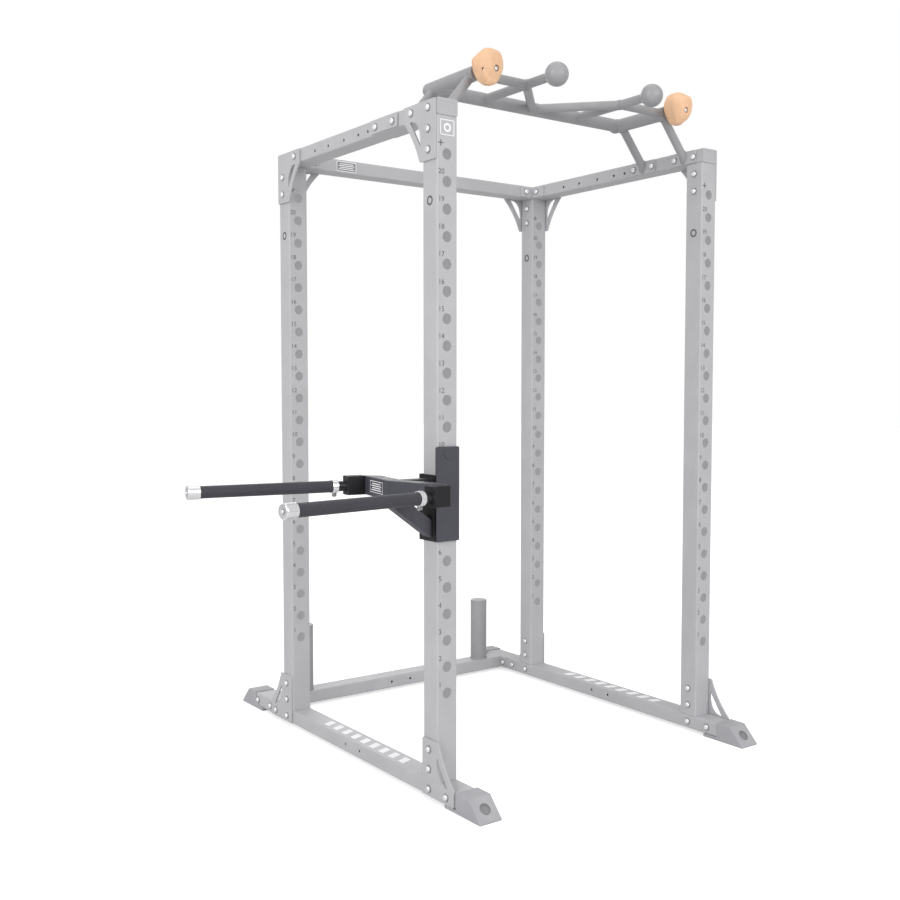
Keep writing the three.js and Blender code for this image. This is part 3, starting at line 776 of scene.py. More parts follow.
# ------------------------------------------------------------------ the cage
@dataclass
class Cage:
    """Uprights, rails and crossmembers."""

    hole_radius: float = 16.5
    hole_count: int = 21
    first_hole: float = 339.6
    hole_pitch: float = 82.2
    corner: float = 5.0
    chamfer: float = 0.8
    top_holes: tuple[float, ...] = (392, 452, 546, 653, 747)
    top_hole_z: float = 2119.0
    pilot_offset: float = 47.0
    pilot_radius: float = 5.0
    pilot_sink: float = 8.0
    cap_thickness: float = 3.0
    panel_margin: float = 18.0
    panel_floor: float = 2.3

    PROUD = 3.0
    RELIEF = 4.0
    PILOT_SIDES = 28

    def build(self) -> None:
        """Makes every tube of the cage."""
        upright = self.upright()
        for row in Row:
            for side in Side:
                name = f"upright_{row.value}_{side.value}"
                shift = Matrix.Translation((0, DATUM.depth - DATUM.post if row is Row.REAR else 0, 0))
                upright.piece(f"{name}_tube", Body.RACK, Slot.FRAME, FRAME_PAINT, [name],
                              side.matrix() @ shift, [TUBE_INSIDE_PAINTED_LIGHT])
        pilots = [DATUM.depth / 2 + k * self.pilot_offset for k in (-1, 1)]
        top, cap = self.rail("top_rail_left", self.top_holes, self.top_hole_z), self.cap()
        base = self.rail("base_rail_left", pilots, MIDDLE)
        for side in Side:
            for kind, work, finish in (("top_rail", top, FRAME_PAINT), ("base_rail", base, FRAME_PAINT),
                                       ("top_rail_cap", cap, CAP_PLASTIC)):
                name = f"{kind}_{side.value}"
                work.piece(f"{name}_shell", Body.RACK, Slot.FRAME, finish, [name], side.matrix())
        for name, drilled in (("crossmember_top_rear", False), ("crossmember_bottom_rear", True)):
            self.crossmember(name, drilled).piece(f"{name}_tube", Body.RACK, Slot.FRAME, FRAME_PAINT, [name])

    def tube(self, width: float, height: float, length: float, place: Matrix) -> Workpiece:
        """A square tube with rounded corners, inside and out."""
        outer = rectangle(width, height, self.corner)
        inner = rectangle(width - 2 * WALL, height - 2 * WALL, self.corner - WALL / 2)
        return Workpiece().prism(outer, length, place, [inner])

    def upright(self) -> Workpiece:
        """The front left upright, with chamfered holes through its front and back walls; its inside faces take
        a lightened, glowing finish, painted light in the holes.
        """
        lo, hi = DATUM.span("upright_front_left")
        tube = self.tube(DATUM.post, DATUM.post, hi.z - lo.z, Matrix.Translation((MIDDLE, MIDDLE, lo.z)))
        r, c = self.hole_radius, self.chamfer
        proud, relief = self.PROUD, self.RELIEF
        front = [(0, -proud), (r + c + proud, -proud), (r, c), (r, WALL - c),
                 (r + relief, WALL + relief - c)]
        back = [(radius, DATUM.post - y) for radius, y in reversed(front)]
        tool = Workpiece()
        for index in range(self.hole_count):
            centre = (MIDDLE, 0, self.hole_height(index))
            tool.lathe(front + back, axes(centre, TO_RIGHT, DOWN, TO_BACK), 40)
        reach = MIDDLE - WALL + 0.5
        # The faces inside the tube take the second finish: painted light that brightens the shaded holes.
        return tube.carve(tool).dress(1, lambda p: max(abs(p.x - MIDDLE), abs(p.y - MIDDLE)) < reach)

    def hole_height(self, index: int) -> float:
        """The height of a hole's centre, counted from the lowest."""
        return self.first_hole + index * self.hole_pitch

    def drill(self) -> Outline:
        """The profile of a countersunk hole through both walls of a tube."""
        r, wide, past, sink = self.pilot_radius, self.pilot_sink, 5.0, 0.5
        near = [(0, -past), (wide, -past), (r, sink)]
        return near + [(radius, DATUM.post - depth) for radius, depth in reversed(near)]

    def rail(self, node: str, holes: Sequence[float], hole_z: float) -> Workpiece:
        """A rail that runs front to back, drilled through its side walls.

        Args:
            node: the CAD node that gives its size.
            holes: the holes' Y positions.
            hole_z: their height.

        Returns:
            The rail.
        """
        lo, hi = DATUM.span(node)
        middle = (lo.z + hi.z) / 2
        place = axes((MIDDLE, lo.y, middle), TO_RIGHT, UP, TO_BACK)
        tube = self.tube(DATUM.post, DATUM.rail, hi.y - lo.y, place)
        tool = Workpiece()
        for y in holes:
            tool.lathe(self.drill(), aim((0, y, hole_z), TO_RIGHT), self.PILOT_SIDES)
        return tube.carve(tool)

    def crossmember(self, node: str, drilled: bool) -> Workpiece:
        """A crossmember that runs left to right, with two pilot holes if it is drilled."""
        lo, hi = DATUM.span(node)
        middle = (lo + hi) / 2
        place = axes((lo.x, middle.y, middle.z), TO_BACK, UP, TO_RIGHT)
        tube, tool = self.tube(hi.y - lo.y, hi.z - lo.z, hi.x - lo.x, place), Workpiece()
        for k in (-1, 1):
            hole = (middle.x + k * self.pilot_offset, lo.y, middle.z)
            tool.lathe(self.drill(), aim(hole, TO_BACK), self.PILOT_SIDES)
        return tube.carve(tool) if drilled else tube

    def cap(self) -> Workpiece:
        """The moulded cap in a top rail's front end, with a shallow sunk panel."""
        lo, hi = DATUM.span("top_rail_cap_left")
        middle = (lo.z + hi.z) / 2
        place = axes((MIDDLE, 0, middle), TO_RIGHT, UP, TO_FRONT)
        cap = Workpiece().prism(rectangle(DATUM.post, DATUM.rail, self.corner), self.cap_thickness, place)
        cap.bevel(1.0, 3)
        panel = rectangle(DATUM.post - self.panel_margin, DATUM.rail - self.panel_margin, self.corner + 1)
        sunk = place @ Matrix.Translation((0, 0, self.panel_floor))
        return cap.carve(Workpiece().prism(panel, self.cap_thickness + 1, sunk))


# ------------------------------------------------------------------ corner plates and brackets
@dataclass
class CornerPlates:
    """The plates that tie the uprights to the rails, with their bolts and the small brackets."""

    thickness: float = 6.0
    reach: float = 168.0
    drop: float = 182.0
    inset: float = 2.0
    foot: float = 84.0
    waist: tuple[float, float] = (112, 107)
    crescent: tuple[tuple[float, float], tuple[float, float], float] = ((80, 134), (76, 52), 136)
    bolts: tuple[tuple[float, float], ...] = ((37.5, 25), (37.5, 88), (37.5, 150), (129, 25))
    bracket_height: float = 44.0
    bracket_lift: float = 3.0
    bracket_sheet: float = 5.0
    bracket_legs: tuple[float, float] = (75.0, 70.0)
    backing_start: float = 208.0
    backing_length: float = 157.0
    backing_bolts: tuple[float, float] = (235.0, 335.0)
    flange_wing: float = 32.0
    flange_height: float = 46.0

    def build(self) -> None:
        """Makes the plates and everything bolted through them."""
        base = DATUM.span("base_rail_left")[0].z
        top = DATUM.top + DATUM.rail
        corners = {
            "gusset_top_front": ((0, 0, top), TO_BACK, DOWN),
            "gusset_top_rear": ((0, DATUM.depth, top), TO_FRONT, DOWN),
            "gusset_base_front": ((0, DATUM.post, base), TO_FRONT, UP),
            "gusset_base_rear": ((0, DATUM.depth - DATUM.post, base), TO_BACK, UP),
        }
        for name, (origin, u, v) in corners.items():
            place = axes((-GAP, *origin[1:]), u, v, TO_LEFT)
            inner = axes((DATUM.post, *origin[1:]), u, v, TO_RIGHT)
            no_head = (0,) if name == "gusset_top_rear" else ()
            no_nut = (0, 3) if name.startswith("gusset_top") else ()
            self._corner(name, place, inner, no_head, no_nut)
        back = axes((0, DATUM.depth + GAP, top), TO_RIGHT, DOWN, TO_BACK)
        inside = axes((0, DATUM.depth - DATUM.post, top), TO_RIGHT, DOWN, TO_FRONT)
        self._corner("gusset_back", back, inside, (), (0, 1, 2, 3))
        self._brackets()

    def plate(self, place: Matrix) -> Workpiece:
        """A corner plate with a diagonal edge and a crescent opening."""
        edge = DATUM.rail + self.inset
        diagonal = bend((self.reach, edge), self.waist, (self.foot, self.drop), 8)
        outer = [(self.inset, self.inset), (self.reach, self.inset), *diagonal, (self.inset, self.drop)]
        crescent = bend(self.crescent[0], self.crescent[1], (self.crescent[2], edge), 10)
        work = Workpiece().prism(rounded(outer, 5), self.thickness, place, [rounded(crescent, 1.0, 2)])
        return work.bevel(0.8)

    def _corner(self, name: str, place: Matrix, inner: Matrix, no_head: Sequence[int],
                no_nut: Sequence[int]) -> None:
        """Makes a plate on both sides, with the bolt heads outside and the nuts' ends inside.

        Args:
            name: the plate's node, without its side.
            place: the plate's axes, with the third one outward.
            inner: the axes of the opposite wall's inner face.
            no_head: the bolts that have no head outside.
            no_nut: the bolts that don't show inside.
        """
        plate, outside, inside = self.plate(place), Workpiece(), Workpiece()
        for index, (u, v) in enumerate(self.bolts):
            if index not in no_head:
                BOLT.put(outside, place @ Vector((u, v, self.thickness)), place.col[2][:3])
            if index not in no_nut:
                BOLT.put(inside, inner @ Vector((u, v, 0)), inner.col[2][:3])
        for side in Side:
            start, turn = f"{name}_{side.value}", side.matrix()
            plate.piece(f"{start}_plate", Body.RACK, Slot.FRAME, FRAME_PAINT, [start], turn)
            outside.fasten(f"{start}_bolts", turn)
            if len(no_nut) < len(self.bolts):
                inside.fasten(f"{start}_inner_bolts", turn)

    def _brackets(self) -> None:
        """Makes the backing plates, the crossmembers' brackets and their bolts."""
        t, sheet, tall = self.thickness, self.bracket_sheet, self.bracket_height
        outside, inside = -GAP - t, DATUM.post + GAP
        cross = DATUM.depth - DATUM.post
        level, centre = DATUM.top + self.bracket_lift, DATUM.top + DATUM.rail / 2
        low, high = DATUM.span("crossmember_bottom_rear")
        foot, wing = (low.z + high.z) / 2, self.flange_wing
        along, across = self.bracket_legs
        flange = (t, high.y - low.y + 2 * wing, self.flange_height)
        plates = {
            "rail_backing_plate": [((outside, self.backing_start, level), (t, self.backing_length, tall))],
            "top_rear_bracket": [((inside, cross - along - 1, level), (sheet, along, tall)),
                                 ((inside, cross - sheet - GAP, level), (across, sheet, tall))],
            "bottom_rear_flange": [((inside, low.y - wing, low.z + 2), flange)],
        }
        rows = (low.y - wing / 2, high.y + wing / 2)
        bolts = {
            "rail_backing_plate": [((outside, y, centre - 2), TO_LEFT) for y in self.backing_bolts],
            "top_rear_bracket": [((inside + sheet, cross - 30, centre), TO_RIGHT),
                                 ((inside + 40 - GAP, cross - sheet - GAP, centre), TO_FRONT)],
            "bottom_rear_flange": [bolt for y in rows for bolt in (((inside + t, y, foot), TO_RIGHT),
                                                                   ((0, y, foot), TO_LEFT))],
        }
        for name, boxes in plates.items():
            plate, heads = Workpiece(), Workpiece()
            for (x, y, z), (dx, dy, dz) in boxes:
                outline = rectangle(dy, dz, 3, (y + dy / 2, z + dz / 2))
                plate.prism(outline, dx, axes((x, 0, 0), TO_BACK, UP, TO_RIGHT))
            plate.bevel(0.8)
            for where, out in bolts[name]:
                BOLT.put(heads, where, out)
            for side in Side:
                plate.piece(f"{name}_{side.value}", Body.RACK, Slot.FRAME, FRAME_PAINT, place=side.matrix())
                heads.fasten(f"{name}_{side.value}_bolts", side.matrix())


# ------------------------------------------------------------------ shoes and pegs
@dataclass
class FloorShoes:
    """The sloped shoes over the base rails' ends."""

    lip: float = -101.0
    tongue: float = -42.0
    crest: float = -164.0
    toe: float = -221.0
    top: float = 64.5
    lug: float = 5.0
    side: float = 3.5
    recess: float = 18.0
    dish: float = 9.0
    scoop: float = 58.0
    shoulder: float = 8.0
    toe_cut: float = 3.0

    SOCKET_REACH = 400.0

    def build(self) -> None:
        """Makes the four shoes."""
        rail_lo, rail_hi = DATUM.span("base_rail_left")
        total = rail_lo.y + rail_hi.y
        for row, scoop in ((Row.FRONT, 0.0), (Row.REAR, self.scoop)):
            work = self.shoe(rail_lo, rail_hi, scoop)
            for side in Side:
                name = f"shoe_{row.value}_{side.value}"
                work.piece(f"{name}_moulding", Body.RACK, Slot.SHOE, SHOE_PLASTIC, [name],
                           side.matrix() @ row.matrix(total), [SHOE_RECESS_PAINTED_SHADE])

    def shoe(self, rail_lo: Vector, rail_hi: Vector, scoop: float) -> Workpiece:
        """The front left shoe.

        Args:
            rail_lo: the rail's lowest corner.
            rail_hi: the rail's highest corner.
            scoop: how far the side walls sweep back towards the tongue.
        """
        sole = rail_lo.z - GAP
        sweep = [(self.lip, sole)]
        if scoop:
            rise = self.top - self.shoulder - sole
            sweep = [(self.lip + scoop * (1 - math.sin(a)), sole + rise * (1 - math.cos(a)))
                     for a in quarter_turn(10)]
        cut = self.toe_cut
        side = [(self.tongue, 0), (self.tongue, sole), *sweep, (self.lip, self.top), (self.crest, self.top),
                (self.toe + cut, self.lug + cut), (self.toe, self.lug), (self.toe, 0)]
        width = DATUM.post + 2 * self.side
        place = axes((-self.side, 0, 0), TO_BACK, UP, TO_RIGHT)
        shoe = Workpiece().prism(side, width, place).bevel(1.6, 3)
        socket = rectangle(DATUM.post + 2 * GAP, rail_hi.z - sole + GAP, 5, (MIDDLE, (rail_hi.z + sole) / 2))
        start = axes((0, rail_lo.y - GAP, 0), TO_RIGHT, UP, TO_BACK)
        shoe.carve(Workpiece().prism(socket, self.SOCKET_REACH, start))
        slope = Vector((0, self.lug - self.top, self.crest - self.toe)).normalized()
        middle = Vector((MIDDLE, (self.crest + self.toe) / 2, (self.top + self.lug) / 2))
        r, deep, flare = self.recess, self.dish, 3.0
        dish = [(0, -deep), (r - flare, -deep), (r, flare - deep), (r, -1.2), (r + flare + 1, flare),
                (0, flare)]
        shoe.carve(Workpiece().lathe(dish, aim(middle, slope), 40))

        def sunk(point: Vector) -> bool:
            """True inside the recess, whose faces take the darker finish as painted shade."""
            away = point - middle
            return away.dot(slope) < -GAP and away.cross(slope).length < r + 0.5

        # The recess's faces take the darker finish: painted shade.
        return shoe.dress(1, sunk)


@dataclass
class StoragePegs:
    """The plate pegs on the rear crossmember."""

    cap_height: float = 10.0
    cap_round: float = 5.0
    overhang: float = 0.8
    dimple: float = 8.0
    weld: float = 3.0

    SIDES = 56

    def build(self) -> None:
        """Makes both pegs, with their caps and weld beads."""
        lo, hi = DATUM.span("storage_peg_left")
        x, y = (lo.x + hi.x) / 2, (lo.y + hi.y) / 2
        r = (hi.x - lo.x) / 2
        rise = hi.z - self.cap_height
        place = Matrix.Translation((x, y, 0))
        post = [(0, lo.z), (r - 1, lo.z), (r, lo.z + 1), (r, rise - 0.6), (r - 0.6, rise), (0, rise)]
        wide, turn = r + self.overhang, self.cap_round
        cap = [(0, rise), (wide, rise), (wide, hi.z - turn), *arc((wide - turn, hi.z - turn), turn, 0, 80, 6),
               (self.dimple, hi.z - 0.6), (self.dimple - 2, hi.z - 1.6), (0, hi.z - 1.6)]
        for side in Side:
            name = f"storage_peg_{side.value}"
            peg = Workpiece().lathe(post, place, self.SIDES)
            ring = [place @ Vector(p) for p in circle(r, lo.z + 1.5, 120)]
            peg.sweep(ring, lambda i: self.weld * (0.75 + 0.14 * math.sin(i * 2.1)))
            peg.piece(f"{name}_post", Body.RACK, Slot.DARK, DARK_PAINT, [name], side.matrix())
            top = Workpiece().lathe(cap, place, self.SIDES)
            top.piece(f"{name}_cap", Body.RACK, Slot.DARK, DARK_PAINT, place=side.matrix())


# ------------------------------------------------------------------ the pull-up frame
@dataclass(frozen=True)
class RoundBar:
    """A round bar from one point to another."""

    start: Point
    end: Point
    radius: float

    @property
    def direction(self) -> Vector:
        """The unit direction from start to end."""
        return (Vector(self.end) - Vector(self.start)).normalized()

    def add(self, work: Workpiece, sides: int = 44) -> None:
        """Adds the bar as a solid with flat ends."""
        length = (Vector(self.end) - Vector(self.start)).length
        profile = [(0, 0), (self.radius, 0), (self.radius, length), (0, length)]
        work.lathe(profile, aim(self.start, self.direction), sides)

    def rim(self, count: int = 96) -> list[Vector]:
        """Points round the bar's start."""
        place = aim(self.start, self.direction)
        return [place @ Vector(p) for p in circle(self.radius, 0, count)]

    def meets_bar(self, other: "RoundBar") -> list[Vector]:
        """Where this bar's surface, going from start to end, first meets another bar's."""
        axis, along = other.direction, self.direction
        cross = along - axis * along.dot(axis)
        points = []
        for point in self.rim():
            away = point - Vector(other.start)
            away -= axis * away.dot(axis)
            a, b = cross.dot(cross), 2 * away.dot(cross)
            c = away.dot(away) - other.radius**2
            root = math.sqrt(max(0.0, b * b - 4 * a * c))
            points.append(point + along * ((-b - root) / (2 * a)))
        return points

    def meets_plane(self, x: float) -> list[Vector]:
        """Where this bar's surface meets the plane of constant X."""
        return [p + self.direction * ((x - p.x) / self.direction.x) for p in self.rim()]


@dataclass
class PullUpFrame:
    """The tubes above the top rails, the ball grips and the climbing holds."""

    height: float = 2266.0
    side_x: float = 198.0
    side_radius: float = 24.0
    cross_y: float = 305.0
    cross_radius: float = 23.0
    grip_x: float = 412.0
    grip_radius: float = 15.0
    grip_front: float = -70.0
    front_y: float = 78.0
    leg_radius: float = 15.0
    leg_y: tuple[float, float] = (85.0, 290.0)
    foot_z: float = 2124.5
    foot_plate: float = 6.0
    foot_bolts: tuple[tuple[float, float], ...] = ((38, 128), (243, 337))
    ball_radius: float = 38.0
    bead: float = 2.6

    def build(self) -> None:
        """Makes the whole pull-up frame."""
        side, cross = self.side_bar(), self.cross_bar()
        bend_point = self.level(self.grip_x, self.front_y)
        grip = RoundBar(self.level(self.grip_x, self.grip_front), self.level(self.grip_x, self.cross_y),
                        self.grip_radius)
        front = RoundBar(bend_point, self.level(self.side_x, self.front_y), self.grip_radius)
        strut = RoundBar(bend_point, self.level(DATUM.width / 2, self.cross_y - 4), self.grip_radius)
        self._side_tubes(side, cross)
        bars = Workpiece()
        cross.add(bars)
        bars.piece("pullup_cross_tube_bar", Body.RACK, Slot.DARK, DARK_PAINT, ["pullup_cross_tube"])
        struts = Workpiece()
        strut.add(struts)
        struts.piece("pullup_inner_strut_left", Body.RACK, Slot.DARK, DARK_PAINT, ["pullup_inner_struts"])
        struts.piece("pullup_inner_strut_right", Body.RACK, Slot.DARK, DARK_PAINT, place=Side.RIGHT.matrix())
        for name, bar, meeting in (
            ("pullup_grip_tube", grip, [grip.meets_bar(cross)]),
            ("pullup_front_tube", front, [front.meets_bar(side), self._turned(front).meets_bar(grip)]),
        ):
            work = Workpiece()
            bar.add(work)
            for ring in meeting:
                self._weld(work, ring)
            for end in Side:
                node = f"{name}_{end.value}"
                work.piece(f"{node}_bar", Body.RACK, Slot.DARK, DARK_PAINT, [node], end.matrix())
        beads = Workpiece()
        self._weld(beads, strut.meets_bar(cross))
        self._weld(beads, self._turned(strut).meets_bar(grip))
        for end in Side:
            beads.piece(f"pullup_strut_welds_{end.value}", Body.RACK, Slot.DARK, WELD, place=end.matrix())
        self._legs(side)
        self._balls()
        ClimbingHold().build()

    def level(self, x: float, y: float) -> Point:
        """A point at the height of the tubes' axes."""
        return (x, y, self.height)

    def side_bar(self) -> RoundBar:
        """The left side tube's axis and radius."""
        lo, hi = DATUM.span("pullup_side_tube_left")
        return RoundBar(self.level(self.side_x, lo.y), self.level(self.side_x, hi.y), self.side_radius)

    def cross_bar(self) -> RoundBar:
        """The cross tube's axis and radius."""
        start, end = (self.level(x, self.cross_y) for x in (self.side_x, DATUM.width - self.side_x))
        return RoundBar(start, end, self.cross_radius)

    @staticmethod
    def _turned(bar: RoundBar) -> RoundBar:
        """The same bar, run the other way from its middle."""
        middle = (Vector(bar.start) + Vector(bar.end)) / 2
        return RoundBar(tuple(middle), bar.start, bar.radius)

    def _weld(self, work: Workpiece, ring: list[Vector]) -> None:
        """Adds a rippled weld bead."""
        work.sweep(ring, lambda i: self.bead * (1 + 0.16 * math.sin(i * 1.9)))

    def _side_tubes(self, side: RoundBar, cross: RoundBar) -> None:
        """Makes the side tubes, domed at the back."""
        length = side.end[1] - side.start[1]
        r = side.radius
        dome = [(r * math.cos(a), length - r + r * math.sin(a)) for a in quarter_turn(12)]
        dome[-1] = (0, length)
        profile = [(0, 0), (r, 0), *dome]
        work = Workpiece().lathe(profile, aim(side.start, TO_BACK), 56)
        self._weld(work, self._turned(cross).meets_bar(side))
        for end in Side:
            name = f"pullup_side_tube_{end.value}"
            work.piece(f"{name}_bar", Body.RACK, Slot.DARK, DARK_PAINT, [name], end.matrix())

    def _legs(self, side: RoundBar) -> None:
        """Makes the four legs, with foot plates, weld beads and bolts."""
        face, plate, centre = DATUM.post + GAP, self.foot_plate, DATUM.top + DATUM.rail / 2
        extra, block = 30.0, 60.0
        for row, y, spots in zip(Row, self.leg_y, self.foot_bolts):
            lo, hi = DATUM.span(f"pullup_leg_{row.value}_left")
            work = Workpiece()
            outline = rectangle(hi.y - lo.y, DATUM.rail - 4, 4, ((lo.y + hi.y) / 2, centre))
            work.prism(outline, plate, axes((face, 0, 0), TO_BACK, UP, TO_RIGHT)).bevel(0.8)
            work.dress(1, lambda point: True)
            leg = RoundBar((face + 4, y, self.foot_z), (self.side_x, y, self.height), self.leg_radius)
            longer = tuple(Vector(leg.start) - leg.direction * extra)
            stem = Workpiece()
            RoundBar(longer, leg.end, self.leg_radius).add(stem)
            wall = axes((face + 2 - block, y, self.foot_z), TO_BACK, UP, TO_RIGHT)
            stem.carve(Workpiece().prism(rectangle(400, 400), block, wall))
            work.take(stem.bm, AS_MADE)
            self._weld(work, leg.meets_bar(side))
            self._weld(work, leg.meets_plane(face + plate))
            heads = Workpiece()
            for spot in spots:
                BOLT.put(heads, (face + plate, spot, centre - 2), TO_RIGHT)
            for end in Side:
                name = f"pullup_leg_{row.value}_{end.value}"
                work.piece(f"{name}_stem", Body.RACK, Slot.DARK, DARK_PAINT, [name], end.matrix(),
                           [FRAME_PAINT])
                heads.fasten(f"{name}_bolts", end.matrix())

    def _balls(self) -> None:
        """Makes the ball grips, with a short neck where each meets its tube."""
        lo, hi = DATUM.span("pullup_ball_left")
        r = self.ball_radius
        neck = self.grip_radius + 3
        start = math.asin(neck / r)
        ball = [(r * math.sin(a), -r * math.cos(a)) for a in
                (start + (math.pi - start) * i / 30 for i in range(31))]
        ball[-1] = (0, r)
        profile = [(0, -r - 3), (neck - 1, -r - 3), (neck, -r - 2), (neck, -r * math.cos(start)), *ball[1:]]
        for side in Side:
            name = f"pullup_ball_{side.value}"
            centre = ((lo.x + hi.x) / 2, lo.y + r, self.height)
            Workpiece().lathe(profile, aim(centre, TO_FRONT), 56).piece(
                f"{name}_grip", Body.RACK, Slot.DARK, DARK_PAINT, [name], side.matrix())


@dataclass
class ClimbingHold:
    """A cast climbing hold, broad at the brow and narrow at the chin, with a bolt and a small screw."""

    rough: float = 2.6
    sink: float = 12.0
    bolt_hole: float = 10.0
    bolt_at: Point = (2.0, 0.0, -11.0)
    screw_hole: float = 4.6
    screw_at: Point = (-42.0, 24.0, -15.0)
    screw_out: Point = (-0.86, -0.5, 0.0)

    SQUARENESS = (0.7, 0.82, 0.76)
    LUMPS, GRIT = 1.6, 9.0

    def build(self) -> None:
        """Makes both holds."""
        lo, hi = DATUM.span("climbing_hold_left")
        centre, half = (lo + hi) / 2, (hi - lo) / 2
        front = Vector((centre.x, lo.y, centre.z))
        fixings = ((front + Vector(self.bolt_at), Vector(TO_FRONT), self.bolt_hole, HOLD_BOLT),
                   (front + Vector(self.screw_at), Vector(self.screw_out), self.screw_hole, HOLD_SCREW))
        for side, shift in ((Side.LEFT, 0.0), (Side.RIGHT, 7.3)):
            work = Workpiece()
            bmesh.ops.create_icosphere(work.bm, subdivisions=6, radius=1.0)
            work.sculpt(lambda p: self._shape(p, centre, half, hi.y, shift))
            tool, bolts = Workpiece(), Workpiece()
            for where, out, radius, bolt in fixings:
                mouth, clear = radius + 5, 60
                flare = [(0, -self.sink), (radius, -self.sink), (radius, 0), (mouth, 10), (mouth, clear),
                         (0, clear)]
                tool.lathe(flare, aim(where - out * 4, out), 32)
                bolt.put(bolts, tuple(where - out * (self.sink + 3.5)), tuple(out))
            name = f"climbing_hold_{side.value}"
            work.carve(tool).piece(f"{name}_casting", Body.RACK, Slot.HOLD, HOLD_RESIN, [name], side.matrix())
            bolts.fasten(f"{name}_bolts", side.matrix())

    def _shape(self, p: Vector, centre: Vector, half: Vector, back: float, shift: float) -> Vector:
        """Turns a unit ball into the hold's lumpy form."""
        squared = Vector([math.copysign(abs(c) ** power, c) for c, power in zip(p, self.SQUARENESS)])
        wide = 0.84 + 0.12 * p.z - 0.06 * p.z * p.z
        if p.x < 0:
            wide -= 0.2 * max(0.0, p.z - 0.35) + 0.12 * max(0.0, -p.z)
        flank = 1 + 0.13 * math.exp(-((p.z - 0.1) / 0.3) ** 2) * max(0.0, -p.x)
        deep = 0.84 + 0.1 * math.sin(2.4 * p.z + 0.5)
        tall = 0.95
        flat = Vector((squared.x * half.x * wide * flank, squared.y * half.y * deep,
                       squared.z * half.z * tall))
        lump = noise.noise(p * self.LUMPS + Vector((shift, 0, 0))) * self.rough * 1.9
        grit = noise.noise(p * self.GRIT + Vector((0, shift, 0))) * self.rough * 0.35
        grown = flat * (1 + (lump + grit) / half.z)
        limit = Vector([max(-h, min(h, c)) for c, h in zip(grown, half)])
        return Vector((centre.x + limit.x, min(back, centre.y + limit.y), centre.z + limit.z))


